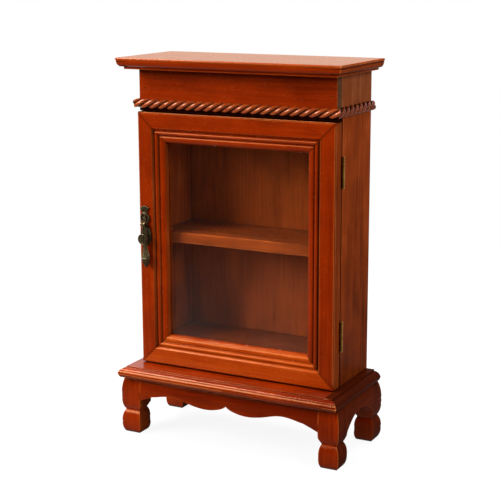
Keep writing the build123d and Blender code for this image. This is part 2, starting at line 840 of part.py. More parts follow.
with BuildPart() as pull_backplate:
    with BuildSketch(elevation(RIGHT)):
        with Locations((0, shield_half_height)):
            Ellipse(shield_half_width, shield_half_height)
        with Locations((0, pivot_rise)):
            Rectangle(neck_width, 2 * ear_radius + neck_width)
        with Locations((0, ring_rise)):
            Circle(ring_radius)
            Circle(ring_hole, mode=Mode.SUBTRACT)
            with PolarLocations(petal_circle, petal_count, start_angle=90):
                Circle(petal_radius)
            Circle(petal_radius)
            Rectangle(petal_radius, 2 * ring_hole + petal_radius)
        with Locations((0, crown_rise)):
            Circle(boss_radius)
        for number in range(crown_leaf_count):
            lean = crown_spread * (number - (crown_leaf_count - 1) / 2)
            leaf_foot = Pos(0, crown_rise) * Rot(0, 0, -lean)
            with Locations(leaf_foot * Pos(0, crown_leaf_length / 2)):
                Ellipse(crown_leaf_width / 2, crown_leaf_length / 2)
    extrude(amount=plate_thickness)
    for sign in (-1, 1):
        low_x = sign * ear_middle - ear_thickness / 2
        high_x = low_x + ear_thickness
        block((low_x, -pivot_standoff, pivot_rise - ear_radius), (high_x, 0, pivot_rise + ear_radius))
        with Locations(Pos(sign * ear_middle, 0, 0) * pivot_axis):
            Cylinder(ear_radius, ear_thickness)
    with Locations(pivot_axis):
        Cylinder(pivot_radius + peg_clearance, REACH, mode=Mode.SUBTRACT)
    add(
        peg_holes(
            plate_nail_seats, plate_nail_radius, plate_nail_length, plate_nail_head, plate_nail_head_depth
        ),
        mode=Mode.SUBTRACT,
    )
save(pull_place * pull_backplate.part, "pull_backplate")

with BuildPart() as pull_pivot_pin:
    with Locations(pivot_axis):
        Cylinder(pivot_radius, pivot_length)
save(pull_place * pull_pivot_pin.part, "pull_pivot_pin")

with BuildPart() as pull_drop:
    with Locations(pivot_axis):
        Cylinder(ear_radius, shank_width)
    shank_front = -pivot_standoff - shank_thickness / 2
    block(
        (-shank_width / 2, shank_front, z_rosette),
        (shank_width / 2, shank_front + shank_thickness, pivot_rise),
    )
    with BuildSketch(elevation(RIGHT, (0, -rosette_back, z_rosette))):
        Circle(rosette_radius)
    extrude(amount=rosette_thickness)
    with BuildSketch(elevation(RIGHT, (0, -rosette_face, z_rosette))):
        Circle(rosette_radius - rosette_rim)
    extrude(amount=rosette_dish, mode=Mode.SUBTRACT)
    with Locations(elevation(RIGHT, (0, -rosette_face, z_rosette))):
        with PolarLocations(rosette_petal_circle, rosette_petal_count):
            Sphere(rosette_petal_radius)
        Sphere(rosette_petal_radius)
    with BuildSketch(elevation(RIGHT, (0, -bell_standoff, z_rosette))):
        band_top = rosette_drop - bell_band_drop
        band_low = band_top - bell_band
        groove_low = band_low - bell_groove
        groove_radius = bell_radius - bell_groove
        with BuildLine():
            Line((0, 0), (bell_top_radius, 0))
            Spline(
                (bell_top_radius, 0),
                (bell_top_radius, -rosette_radius),
                (bell_waist_radius, band_top * 0.7),
                (groove_radius, band_top),
            )
            Polyline(
                (groove_radius, band_top),
                (bell_radius, band_top),
                (bell_radius, band_low),
                (groove_radius, band_low),
                (groove_radius, groove_low),
            )
            Spline(
                (groove_radius, groove_low),
                (groove_radius * 0.55, groove_low - acorn_length * 0.65),
                (0, groove_low - acorn_length),
                tangents=((0.3, -1), (-0.4, -1)),
            )
            Line((0, groove_low - acorn_length), (0, 0))
        make_face()
    revolve(axis=Axis((0, -bell_standoff, z_rosette), (0, 0, 1)))
    with Locations(pivot_axis):
        Cylinder(pivot_radius + pivot_clearance, REACH, mode=Mode.SUBTRACT)
save(pull_place * pull_drop.part, "pull_drop")

# ------------------------------------------------------------------ the fixings themselves
save(pegs(frieze_brad_places, brad_radius, brad_length), "frieze_brads")
save(pegs(shelf_brad_places, brad_radius, brad_length), "shelf_brads")
save(pegs(back_pin_places, pin_radius, pin_length, pin_head_radius, pin_head_depth), "back_panel_pins")
save(pegs(leg_dowel_places, dowel_radius, dowel_length), "leg_dowels")
save(pegs(case_dowel_places, dowel_radius, dowel_length), "case_dowels")
save(
    pegs(case_screw_places, screw_radius, screw_length, screw_head_radius, screw_head_depth),
    "hinge_case_screws",
)
save(
    pegs(door_screw_places, screw_radius, screw_length, screw_head_radius, screw_head_depth),
    "hinge_door_screws",
)
save(
    pegs(plate_nail_places, plate_nail_radius, plate_nail_length, plate_nail_head, plate_nail_head_depth),
    "pull_nails",
)
save(pegs(magnet_place, catch_radius, magnet_depth), "catch_magnet")
save(pegs(strike_place, catch_radius, strike_thickness), "catch_strike")
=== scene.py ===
# %% [markdown]
# # A small glazed display case, dressed in Blender
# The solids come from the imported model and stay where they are. This script gives each of them the
# look of the real thing: lacquered hardwood, clear glass, yellow brass hinges and a dark brass pull.
# Sizes and places are written in millimetres, and MM turns them to metres.

import json
import math

import bmesh
import bpy
from mathutils import Matrix, Vector

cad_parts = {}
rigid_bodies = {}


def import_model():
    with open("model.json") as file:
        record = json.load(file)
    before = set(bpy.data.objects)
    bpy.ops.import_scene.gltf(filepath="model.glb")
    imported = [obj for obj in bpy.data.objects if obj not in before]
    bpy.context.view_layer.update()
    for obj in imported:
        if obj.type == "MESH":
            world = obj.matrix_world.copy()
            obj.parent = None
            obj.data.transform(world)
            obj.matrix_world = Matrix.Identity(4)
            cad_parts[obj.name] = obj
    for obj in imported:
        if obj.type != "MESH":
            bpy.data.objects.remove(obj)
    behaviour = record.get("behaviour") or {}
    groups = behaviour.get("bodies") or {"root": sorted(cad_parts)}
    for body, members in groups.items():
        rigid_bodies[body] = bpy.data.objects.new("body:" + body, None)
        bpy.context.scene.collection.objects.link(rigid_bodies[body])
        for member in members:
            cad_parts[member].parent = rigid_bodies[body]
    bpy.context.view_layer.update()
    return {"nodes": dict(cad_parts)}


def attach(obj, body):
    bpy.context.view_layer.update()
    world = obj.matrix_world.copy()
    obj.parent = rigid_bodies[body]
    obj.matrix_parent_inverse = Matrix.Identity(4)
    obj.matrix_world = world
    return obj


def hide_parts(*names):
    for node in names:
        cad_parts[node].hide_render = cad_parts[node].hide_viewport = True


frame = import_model()
MM = 0.001


# %% [markdown]
# ## Helpers that every step uses
# Colours are written as the hex values a paint chart would give, so one function turns them into the
# linear values that Blender's shaders expect. One function adds a node, with its settings and links.
# The others start a material, place a lamp or camera, and hand a finished mesh to its body.

# %% Helpers for colours, nodes and finished pieces
def linear(hex_colour):
    """An sRGB hex colour as linear RGBA."""
    channels = [int(hex_colour[i : i + 2], 16) / 255 for i in (1, 3, 5)]
    return tuple(c / 12.92 if c <= 0.04045 else ((c + 0.055) / 1.055) ** 2.4 for c in channels) + (1.0,)


def add(tree, kind, inputs=None, **settings):
    """Add a node: settings are its own fields, inputs are values or links by name or number.

    A link comes from a socket, or from a node, which stands for its first output. Map Range takes the
    range it reads as 1 and 2 and the one it gives as 3 and 4, and a colour Mix its colours as 6 and 7.
    """
    made = tree.nodes.new(kind)
    for field, value in settings.items():
        setattr(made, field, value)
    for key, value in (inputs or {}).items():
        source = value.outputs[0] if isinstance(value, bpy.types.Node) else value
        if isinstance(source, bpy.types.NodeSocket):
            tree.links.new(source, made.inputs[key])
        else:
            made.inputs[key].default_value = source
    return made


def blank(kind, name):
    """A new material or world, and its empty node tree."""
    made = kind.new(name)
    made.use_nodes = True
    made.node_tree.nodes.clear()
    return made, made.node_tree


def linked(name, data, *materials):
    """A new object in the scene for a camera, a lamp, or a mesh with its materials."""
    for material in materials:
        data.materials.append(material)
    piece = bpy.data.objects.new(name, data)
    bpy.context.scene.collection.objects.link(piece)
    return piece


def looking(place, target):
    """The matrix of a camera or lamp that stands at one point and looks at another, in metres."""
    turn = (target - place).to_track_quat("-Z", "Y").to_matrix().to_4x4()
    return Matrix.Translation(place) @ turn


def hand_over(piece, body, slot, *nodes):
    """The piece moves with a body and stands for CAD nodes, which it hides; the slot is not used."""
    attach(piece, body)
    if nodes:
        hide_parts(*nodes)


# %% [markdown]
# ## Camera
# The viewpoint is to the right of the door and a little above it, with a long lens, so upright edges
# stay nearly parallel.

# %% Camera
eye_point = Vector((544.52, -1035.91, 441.67)) * MM
look_point = Vector((16.718, -29.35, 188.349)) * MM
lean = math.radians(-0.193)
camera_data = bpy.data.cameras.new("camera")
camera_data.lens = 93.19
camera_data.sensor_width = 36.0
camera_data.clip_start = 0.01
camera = linked("camera", camera_data)
camera.matrix_world = looking(eye_point, look_point) @ Matrix.Rotation(lean, 4, "Z")
bpy.context.scene.camera = camera
bpy.context.scene.view_settings.view_transform = "Standard"
print("camera distance, mm:", round((look_point - eye_point).length / MM))


# %% [markdown]
# ## Floor, lamps and world
# Glossy lacquer mirrors what stands round it, so the light matters as much as the finish. A broad lamp
# at the upper left front shapes the mouldings, and a smaller, higher one gives the arrises their glint.
# A wide lamp above and behind makes the top board shine, and a weak one at the right keeps that side
# from going black. The white paper and the room are dim in front of the case, where only the lacquer
# looks, because a pale room mirrored in red lacquer turns it milky.

# %% Floor and world
WHITE = linear("#ffffff")


def looked_at(tree, dim, full):
    """1 where a camera, mirror or glass ray should find white: mirrors find it only behind the case.

    Dim and full are how far back, in metres, that white begins and is complete. A ray that was
    mirrored inside the pane doesn't count as one that looks through it.
    """
    path = add(tree, "ShaderNodeLightPath").outputs
    place = add(tree, "ShaderNodeTexCoord").outputs["Object"]
    back = add(tree, "ShaderNodeSeparateXYZ", {0: place}).outputs["Y"]
    behind = add(tree, "ShaderNodeMapRange", {0: back, 1: dim, 2: full}, interpolation_type="SMOOTHSTEP")
    mirror = add(tree, "ShaderNodeMath", {0: path["Is Glossy Ray"], 1: behind}, operation="MULTIPLY")
    seen = add(tree, "ShaderNodeMath", {0: path["Is Camera Ray"], 1: mirror}, operation="MAXIMUM")
    straight = add(tree, "ShaderNodeMath", {0: path["Glossy Depth"], 1: 0.5}, operation="LESS_THAN")
    through = add(tree, "ShaderNodeMath", {0: path["Is Transmission Ray"], 1: straight}, operation="MULTIPLY")
    return add(tree, "ShaderNodeMath", {0: seen, 1: through}, operation="MAXIMUM")


paper, tree = blank(bpy.data.materials, "white_backdrop_paper")
seen = looked_at(tree, -0.15, 0.25)
place = add(tree, "ShaderNodeTexCoord").outputs["Object"]
back = add(tree, "ShaderNodeSeparateXYZ", {0: place}).outputs["Y"]
# One matte is what light bounces off, darker towards the front; the other, with a glow, is what shows.
depth = add(tree, "ShaderNodeMapRange", {0: back, 1: -0.7, 2: -0.2, 3: 0.05, 4: 0.2})
matte = add(tree, "ShaderNodeBsdfDiffuse", {"Color": depth})
sheet = add(tree, "ShaderNodeBsdfDiffuse", {"Color": linear("#595959")})
glow = add(tree, "ShaderNodeEmission", {"Color": WHITE, "Strength": 0.9})
near = add(tree, "ShaderNodeAddShader", {0: sheet, 1: glow})
far = add(tree, "ShaderNodeEmission", {"Color": WHITE, "Strength": 1.0})
from_case = add(tree, "ShaderNodeVectorMath", {0: place}, operation="LENGTH").outputs["Value"]
away = add(tree, "ShaderNodeMapRange", {0: from_case, 1: 0.35, 2: 1.1}, interpolation_type="SMOOTHSTEP")
both = add(tree, "ShaderNodeMixShader", {0: away, 1: near, 2: far})
shown = add(tree, "ShaderNodeMixShader", {0: seen, 1: matte, 2: both})
add(tree, "ShaderNodeOutputMaterial", {"Surface": shown})

reach = 12.0
floor_mesh = bpy.data.meshes.new("floor")
corners = [(x * reach, y * reach, 0) for x, y in ((-1, -1), (1, -1), (1, 1), (-1, 1))]
floor_mesh.from_pydata(corners, [], [(0, 1, 2, 3)])
floor = linked("floor", floor_mesh, paper)

world, tree = blank(bpy.data.worlds, "studio")
seen = looked_at(tree, -0.3, 0.2)
mirrored = add(tree, "ShaderNodeLightPath").outputs["Is Glossy Ray"]
level = add(tree, "ShaderNodeMapRange", {0: mirrored, 3: 0.25, 4: 0.03})
fill = add(tree, "ShaderNodeBackground", {"Color": WHITE, "Strength": level})
bright = add(tree, "ShaderNodeBackground", {"Color": WHITE, "Strength": 1.0})
shown = add(tree, "ShaderNodeMixShader", {0: seen, 1: fill, 2: bright})
add(tree, "ShaderNodeOutputWorld", {"Surface": shown})
bpy.context.scene.world = world
print("floor and world:", floor.name, world.name)

# %% Lamps: place, target, width and height in millimetres, then watts
LAMPS = {
    "key": ((-1120, -1320, 1120), (0, 0, 180), 1000, 1000, 48),
    "spark": ((-843, -120, 1380), (0, 0, 180), 400, 400, 13),
    "overhead": ((150, 500, 1500), (0, 0, 250), 1300, 700, 22.5),
    "right_fill": ((1000, -330, 750), (0, 0, 180), 500, 600, 7.6),
}
for name, (place, target, width, height, power) in LAMPS.items():
    lamp = bpy.data.lights.new(name, "AREA")
    lamp.shape = "RECTANGLE"
    lamp.size = width * MM
    lamp.size_y = height * MM
    lamp.energy = power
    linked(name, lamp).matrix_world = looking(Vector(place) * MM, Vector(target) * MM)
print("lamps:", list(LAMPS))


# %% [markdown]
# ## Lacquered hardwood
# The case is a close-grained hardwood, stained cherry red and sprayed with a toned gloss lacquer. The
# eye sees three things: broad bands of lighter and darker stain that follow the grain, fine streaks
# about 2 mm apart, and a smooth skin that shines without hiding the wood. Toner lies thick in hollows
# and is rubbed off arrises, and over that the hollows carry painted shade and the arrises a painted
# highlight, which is what draws every moulding. Each board gets its own number, kept as an attribute,
# so that no two boards show the same figure.

# %% Lacquered hardwood
# Millimetres between repeats across and along the grain, and how much finer detail is mixed in.
PATTERNS = {
    "bands": (15, 170, 2.0),
    "streaks": (1.9, 60, 3.0),
    "pores": (0.6, 7, 1.0),
    "clouds": (26, 30, 2.0),
    "skin": (2.6, 4, 2.0),
    "ripples": (5, 1.5, 2.0),
}
# Occlusion finds a piece's arrises from inside it, and its hollows from outside.
FROM_INSIDE = {"inside": True, "only_local": True, "samples": 8}


def figured_wood(name, grain, colours, ior, roughness, glaze_and_shade, depth=0.3):
    """A stained and lacquered wood whose grain runs along axis 0, 1 or 2.

    Bare is its colour where the lacquer is rubbed thin and where a painted highlight lies on an arris,
    sheen the tint of its mirror light, glaze how much toner and painted shade lies in a hollow that is
    as closed in as depth says.
    """
    dark, middle, light, bare_and_highlight, sheen = (linear(colour) for colour in colours.split())
    material, tree = blank(bpy.data.materials, name)
    place = add(tree, "ShaderNodeTexCoord").outputs["Object"]
    board, tone, wear_and_highlight, chatter = (
        add(tree, "ShaderNodeAttribute", attribute_name=field).outputs["Fac"]
        for field in ("board", "tone", "wear_and_highlight", "chatter")
    )
    shift = add(tree, "ShaderNodeVectorMath", {0: (0.31, 0.17, 0.23), "Scale": board}, operation="SCALE")
    moved = add(tree, "ShaderNodeVectorMath", {0: place, 1: shift}, operation="ADD")
    noise = {}
    for pattern, (across, along, detail) in PATTERNS.items():
        scales = [1000 / across] * 3
        scales[grain] = 1000 / along
        scaled = add(tree, "ShaderNodeVectorMath", {0: moved, 1: scales}, operation="MULTIPLY")
        noise[pattern] = add(tree, "ShaderNodeTexNoise", {"Vector": scaled, "Scale": 1.0, "Detail": detail})
    noise["bands"].inputs["Distortion"].default_value = 0.4

    total = tone
    for pattern, low, high in (("bands", 0.2, 0.38), ("streaks", -0.12, 0.12), ("clouds", 0.0, 0.2)):
        share = add(tree, "ShaderNodeMapRange", {0: noise[pattern], 1: 0.3, 2: 0.7, 3: low, 4: high})
        total = add(tree, "ShaderNodeMath", {0: total, 1: share}, operation="ADD")
    total.use_clamp = True
    stain = add(tree, "ShaderNodeValToRGB", {0: total})
    stain.color_ramp.elements[0].color = dark
    stain.color_ramp.elements[1].color = light
    stain.color_ramp.elements.new(0.5).color = middle

    # Toned lacquer is thin on a free arris, where rubbing takes it off, and thick in a groove. Both are
    # also painted light: a painted highlight on the free arris, and painted shade in the groove, where
    # occlusion finds it.
    near, wide = {"Distance": 1.2 * MM}, {"Distance": 3.5 * MM}
    arris = add(tree, "ShaderNodeAmbientOcclusion", near, **FROM_INSIDE).outputs["AO"]
    groove = add(tree, "ShaderNodeAmbientOcclusion", wide, samples=8).outputs["AO"]
    quirk = add(tree, "ShaderNodeAmbientOcclusion", near, samples=8).outputs["AO"]
    pore, rubbed, open_air, pooled_toner_and_shade, quirk_toner_and_shade, uneven = (
        add(tree, "ShaderNodeMapRange", dict(enumerate(limits)))
        for limits in (
            (noise["pores"], 0.6, 0.72, 0.0, 0.28),
            (arris, 0.87, 0.5, 0.0, 0.9),
            (groove, 0.82, 0.98),
            (groove, depth + 0.42, depth, 0.0, glaze_and_shade),
            (quirk, 0.8, 0.5, 0.0, glaze_and_shade),
            (noise["skin"], 0.3, 0.7, roughness * 0.8, roughness * 1.25),
        )
    )
    pored = add(tree, "ShaderNodeMix", {0: pore, 6: stain, 7: dark}, data_type="RGBA").outputs[2]
    free = add(tree, "ShaderNodeMath", {0: rubbed, 1: open_air}, operation="MULTIPLY")
    free = add(tree, "ShaderNodeMath", {0: free, 1: wear_and_highlight}, operation="MULTIPLY", use_clamp=True)
    worn_and_highlit = add(tree, "ShaderNodeMix", {0: free, 6: pored, 7: bare_and_highlight}, data_type="RGBA").outputs[2]
    joint = add(tree, "ShaderNodeMath", {0: wear_and_highlight, 1: -1.0}, operation="MULTIPLY", use_clamp=True)
    toner_and_shade = add(tree, "ShaderNodeMath", {0: pooled_toner_and_shade, 1: quirk_toner_and_shade}, operation="MAXIMUM")
    toner_and_shade = add(tree, "ShaderNodeMath", {0: toner_and_shade, 1: joint}, operation="MAXIMUM")
    # Painted shade: hollows are mixed towards a near-black red, as are the real glue lines in mitres.
    toned_and_shaded = add(tree, "ShaderNodeMix", {0: toner_and_shade, 6: worn_and_highlit, 7: linear("#220500")}, data_type="RGBA")

    relief = noise["streaks"]
    for pattern, share in (("skin", 0.5), ("ripples", chatter)):
        parts = {0: noise[pattern], 1: share, 2: relief}
        relief = add(tree, "ShaderNodeMath", parts, operation="MULTIPLY_ADD")
    bump = add(tree, "ShaderNodeBump", {"Height": relief, "Strength": 0.3, "Distance": 0.1 * MM})
    look = {"Base Color": toned_and_shaded.outputs[2], "Roughness": uneven, "Normal": bump}
    look |= {"IOR": ior, "Specular Tint": sheen}
    surface = add(tree, "ShaderNodeBsdfPrincipled", look)
    add(tree, "ShaderNodeOutputMaterial", {"Surface": surface})
    return material


# %% The finishes of the wood
# Colours are dark, middle, light, bare (worn arrises and painted highlight) and sheen; then ior, roughness,
# glaze (toner and painted shade in hollows) and, if not 0.3, depth.
FINISHES = {
    # A red, wet-looking front, deeper red in its hollows: toner and painted shade.
    "front": ("#621300 #902700 #b24508 #d2702a #ffb070", 1.4, 0.18, 0.9),
    # The same red with a softer shine and paler arrises, as on a part that hands touch; the paler arrises are
    # partly painted highlight.
    "door": ("#621300 #902700 #b24508 #d8803c #ffb468", 1.4, 0.23, 0.3),
    # The glossiest red, so that the broad moulding carries one bright line along it.
    "plinth": ("#621300 #902700 #b24508 #e08440 #ffba78", 1.46, 0.14, 0.9),
    # Browner and almost matt: painted light and shade for faces that look sideways, which the lamps meet
    # differently from the front.
    "side": ("#4a1a06 #883812 #b86030 #c07038 #ffb080", 1.02, 0.3, 0.85),
    # A dark brown painted shade for the sides of the base, which are in the shade of the plinth, and for
    # other shaded faces.
    "low_side": ("#3a1003 #5c1e06 #7a2e0e #8a4420 #ff9050", 1.03, 0.3, 0.9),
    # A pale, flat tan, a painted sheen: the colour carries the reflection of the lamp overhead as one even
    # sheen.
    "top": ("#80441e #8a5026 #965c2e #c07c40 #ffc8a0", 1.06, 0.2, 0.7),
    # A dull warm brown, darker still in the corners: painted shade, so that the compartments look deep.
    "inside": ("#3a1404 #6e2c0c #9a481a #b8622e #ffa060", 1.1, 0.35, 0.6),
    # Nearly black painted shade, for edges that look into a gap.
    "edge": ("#160500 #240903 #361006 #5a240c #ff9050", 1.01, 0.5, 0.9),
    # A warm glossy brown with painted shade in its gaps, so that each strand stands out round.
    "rope": ("#7a2408 #a84612 #c8682c #d88048 #ffc8a8", 1.85, 0.25, 1.0, 0.62),
    # The same strands on the sides, duller and darker: painted shade.
    "low_rope": ("#521a08 #7c3412 #a0562a #b07048 #ff9c68", 1.18, 0.3, 1.0, 0.62),
    # Raw grey-brown end grain, where the frieze board is sawn across.
    "end": ("#43291a #5f3d27 #724c33 #724c33 #ffb080", 1.04, 0.5, 0.6),
    # The sides above the rope, a little greyer than below it: a painted sheen.
    "high_side": ("#421c0b #7b3c1c #a86644 #b07050 #ffb080", 1.02, 0.3, 0.85),
}


def wood(finish, axis):
    """The wood of a finish with its grain along x, y or z, made when a board first asks for it."""
    name = f"cherry_stained_lacquered_hardwood_{finish}_{axis}"
    return bpy.data.materials.get(name) or figured_wood(name, "xyz".index(axis), *FINISHES[finish])


print("finishes:", list(FINISHES))


# %% [markdown]
# ## Clear glass
# The pane is 2 mm float glass. Clear glass is seen only by what it mirrors, so the shader lets
# everything through, and shadow rays pass as well, because light really does reach the shelf. Wiping
# marks make the mirror uneven, and a faint white film low on the pane veils the floor of the case: it
# is partly dust and partly a painted reflection.

# %% Glass
clear_glass, tree = blank(bpy.data.materials, "clear_float_glass")
place = add(tree, "ShaderNodeTexCoord").outputs["Object"]
wiped = add(tree, "ShaderNodeTexNoise", {"Vector": place, "Scale": 14.0, "Detail": 3.0})
haze = add(tree, "ShaderNodeMapRange", {0: wiped, 1: 0.35, 2: 0.75, 3: 0.0, 4: 0.012})
look = {"Base Color": linear("#fbfdfb"), "Roughness": haze, "IOR": 1.16, "Transmission Weight": 1.0}
pane = add(tree, "ShaderNodeBsdfPrincipled", look)
height = add(tree, "ShaderNodeSeparateXYZ", {0: place}).outputs["Z"]
# Partly dust, partly painted reflection: a faint white film, thickest low on the pane.
film_by_height = add(tree, "ShaderNodeMapRange", {0: height, 1: 90 * MM, 2: 220 * MM, 3: 0.006, 4: 0.0003})
dust_and_reflection_share = add(tree, "ShaderNodeMath", {0: film_by_height, 1: wiped}, operation="MULTIPLY")
dust_and_reflection = add(tree, "ShaderNodeBsdfDiffuse", {"Color": WHITE})
filmed = add(tree, "ShaderNodeMixShader", {0: dust_and_reflection_share, 1: pane, 2: dust_and_reflection})
passing = add(tree, "ShaderNodeBsdfTransparent", {"Color": linear("#f4f6f4")})
shadow = add(tree, "ShaderNodeLightPath").outputs["Is Shadow Ray"]
lit = add(tree, "ShaderNodeMixShader", {0: shadow, 1: filmed, 2: passing})
add(tree, "ShaderNodeOutputMaterial", {"Surface": lit})
print("glass:", clear_glass.name)


# %% [markdown]
# ## Metals
# The hinges are stamped from yellow brass strip that has dulled. The pull is a die casting, plated with
# brass, blackened, and then rubbed, so that only what stands proud is bright. Nails, pins and the catch
# are plain steel. One function serves them all, because each is a metal with a darker film in its
# hollows.

# %% Metals
def rubbed_metal(name, bright, film, roughness, cover, spot):
    """A metal with a dark film that is rubbed off its edges; spot is its tarnish grain in mm."""
    material, tree = blank(bpy.data.materials, name)
    place = add(tree, "ShaderNodeTexCoord").outputs["Object"]
    tarnish = add(tree, "ShaderNodeTexNoise", {"Vector": place, "Scale": 1000 / spot, "Detail": 3.0})
    near, wide = {"Distance": 0.6 * MM}, {"Distance": 1.2 * MM}
    edge = add(tree, "ShaderNodeAmbientOcclusion", near, **FROM_INSIDE).outputs["AO"]
    hollow = add(tree, "ShaderNodeAmbientOcclusion", wide, samples=8).outputs["AO"]
    proud = add(tree, "ShaderNodeMapRange", {0: edge, 1: 0.75, 2: 0.4, 3: cover, 4: 0.0})
    patch = add(tree, "ShaderNodeMapRange", {0: tarnish, 1: 0.3, 2: 0.7, 3: -0.2, 4: 0.2})
    kept = add(tree, "ShaderNodeMapRange", {0: hollow, 1: 0.8, 2: 0.4})
    held = add(tree, "ShaderNodeMath", {0: proud, 1: kept}, operation="ADD")
    dim = add(tree, "ShaderNodeMath", {0: held, 1: patch}, operation="ADD", use_clamp=True)
    colour = add(tree, "ShaderNodeMix", {0: dim, 6: linear(bright), 7: linear(film)}, data_type="RGBA")
    polish = add(tree, "ShaderNodeMapRange", {0: dim, 3: roughness, 4: min(1, roughness * 1.5)})
    bump = add(tree, "ShaderNodeBump", {"Height": tarnish, "Strength": 0.2, "Distance": 0.05 * MM})
    look = {"Base Color": colour.outputs[2], "Metallic": 1.0, "Roughness": polish, "Normal": bump}
    surface = add(tree, "ShaderNodeBsdfPrincipled", look)
    add(tree, "ShaderNodeOutputMaterial", {"Surface": surface})
    return material


# Bright colour, film colour, roughness, cover and spot.
METALS = {
    "stamped_yellow_brass": ("#c08e3c", "#2c1606", 0.3, 0.6, 1.4),
    "blackened_rubbed_brass_casting": ("#c0a878", "#20160c", 0.32, 0.85, 0.8),
    "bright_steel_wire": ("#8d8a86", "#3c3835", 0.3, 0.3, 1.0),
    "blued_steel_wire": ("#171413", "#0b0908", 0.5, 0.6, 1.0),
}
metals = [rubbed_metal(name, *values) for name, values in METALS.items()]
dull_brass, antique_brass, plain_steel, black_steel = metals
print("metals:", list(METALS))


# %% [markdown]
# ## Boards and mouldings
# The solids already have the right section, but a sawn and sanded board never has a knife edge: its
# arrises are rubbed to a radius of a few tenths of a millimetre, and that thin line catches the light.
# A copy of each solid is merged into one skin, flat areas are made single faces again, and a Bevel
# modifier rounds only the edges between faces large enough to take it. Parts of a board can have
# another finish or tone, most of them painted shade or sheen: the mesh is scored there first, so that
# the change is a clean line.

# %% Soften the edges of a copied solid
ARRIS = math.radians(32)  # faces that meet at more than this make an arris
FLAT = math.radians(0.4)  # and at less than this they are one face
GLUE_AT, PLAIN_TO, RUBBED_FROM = 0.1, 1.3, 3.0  # mm from a mitre
DOOR_SIDE_X = 99.9  # what lies further out is the side of the door


def scored(work, point, away, **settings):
    """A line of new edges round the mesh, so that a finish or a value can change there."""
    everything = work.verts[:] + work.edges[:] + work.faces[:]
    bmesh.ops.bisect_plane(work, geom=everything, plane_co=point, plane_no=away, **settings)


def finished(work, mesh, crease=0):
    """Write what was worked on into a mesh, smooth up to a crease in degrees, and let go of it."""
    for edge in work.edges if crease else ():
        edge.smooth = edge.calc_face_angle(0.0) < math.radians(crease)
    work.to_mesh(mesh)
    work.free()
    return mesh


def merged_copy(node):
    """The CAD node's skin as one closed mesh without the triangulation of its flat areas."""
    work = bmesh.new()
    work.from_mesh(frame["nodes"][node].data)
    bmesh.ops.remove_doubles(work, verts=work.verts, dist=0.001 * MM)
    limits = {"angle_limit": FLAT, "use_dissolve_boundaries": False}
    bmesh.ops.dissolve_limit(work, verts=work.verts, edges=work.edges, **limits)
    return work


def named_value(mesh, name, value):
    """One number all over a mesh, for its material to read."""
    stored = mesh.attributes.new(name, "FLOAT", "POINT")
    stored.data.foreach_set("value", [float(value)] * len(mesh.vertices))


# Painted shade: these boards darken downwards, towards the knee, or towards the right, as the light falls off
# across them.
FADES = {  # where a board begins to darken, in mm, and the change of tone per metre along x, y and z
    "side_panel_left": [((0, 0, 346.8), (0, 0, 1.4))],
    "side_panel_right": [((0, 0, 346.8), (0, 0, 1.4))],
    "apron_front": [((-99.0, 0, 0), (-2.2, 0, 0))],
    "frieze_board": [((-99.0, 0, 0), (-0.6, 0, 0))],
    "door_stile_right": [((0, 0, 307.0), (0, 0, 0.5))],
    "leg_front_left": [((0, 0, 24.0), (0, 0, -6.0))],
    "plinth_board": [((-113.3, 0, 0), (-0.4, 0, 0)), ((60.0, 0, 0), (-9.0, 0, 0))],
}


def is_mitre(face):
    """A mitre is a broad end that looks both sideways and up or down, at 45 degrees."""
    return min(abs(face.normal.x), abs(face.normal.z)) > 0.6 and face.calc_area() > 30 * MM * MM


def softened(
    node, name, width, material, board=0, tone=0.0, wear_and_highlight=1.0,
    least_area=12.0, scores=(), mitred=False, outer=0.0,
):
    """A copy of a CAD node with rounded arrises, its own figure and smooth mouldings.

    The wear value says how bare and bright its arrises are, partly wear and partly painted highlight: a
    mitre has none, and keeps a dark glue line. Tone makes the whole board darker or lighter, and some
    boards fade from end to end, which is painted shade. Outer is the larger radius of the upright
    arrises at the two sides of the door.
    """
    work = merged_copy(node)
    ends = [face for face in work.faces if mitred and is_mitre(face)]
    mitres = [(face.calc_center_median(), face.normal.copy()) for face in ends]
    for point, away in mitres:
        scored(work, point - away * PLAIN_TO * MM, away)
        scored(work, point - away * RUBBED_FROM * MM, away)
    for point, away in scores:
        scored(work, Vector(point) * MM, away)
    wear_and_highlight_layer = work.verts.layers.float.new("wear_and_highlight")
    shade = work.verts.layers.float.new("tone")
    # Painted shade: a fading board darkens away from where its fade begins.
    fades = FADES.get(node, ())
    for vertex in work.verts:
        darker = (Vector(change).dot(vertex.co - Vector(begin) * MM) for begin, change in fades)
        vertex[shade] = tone + sum(min(0.0, value) for value in darker)
        inside = min([(point - vertex.co).dot(away) / MM for point, away in mitres], default=RUBBED_FROM)
        # In the mitre itself there is glue, and next to it nothing is rubbed.
        vertex[wear_and_highlight_layer] = -0.6 if inside < GLUE_AT else 0.0 if inside < PLAIN_TO + GLUE_AT else wear_and_highlight
    weights = work.edges.layers.float.new("bevel_weight_edge")
    least = least_area * MM * MM
    for edge in work.edges:
        angle = edge.calc_face_angle(0.0)
        edge.smooth = angle < ARRIS
        big = all(face.calc_area() > least and not (mitred and is_mitre(face)) for face in edge.link_faces)
        if angle > ARRIS and big:
            broad = outer > width and all(abs(vertex.co.x) > DOOR_SIDE_X * MM for vertex in edge.verts)
            edge[weights] = (outer if broad else width) / max(width, outer)
    for face in work.faces:
        face.smooth = True
    mesh = finished(work, bpy.data.meshes.new(name))
    named_value(mesh, "board", board)
    piece = linked(name, mesh, material)
    rounding = piece.modifiers.new("rubbed_arrises", "BEVEL")
    rounding.limit_method = "WEIGHT"
    rounding.width = max(width, outer) * MM
    rounding.segments = 2
    rounding.use_clamp_overlap = False
    rounding.harden_normals = True
    return piece


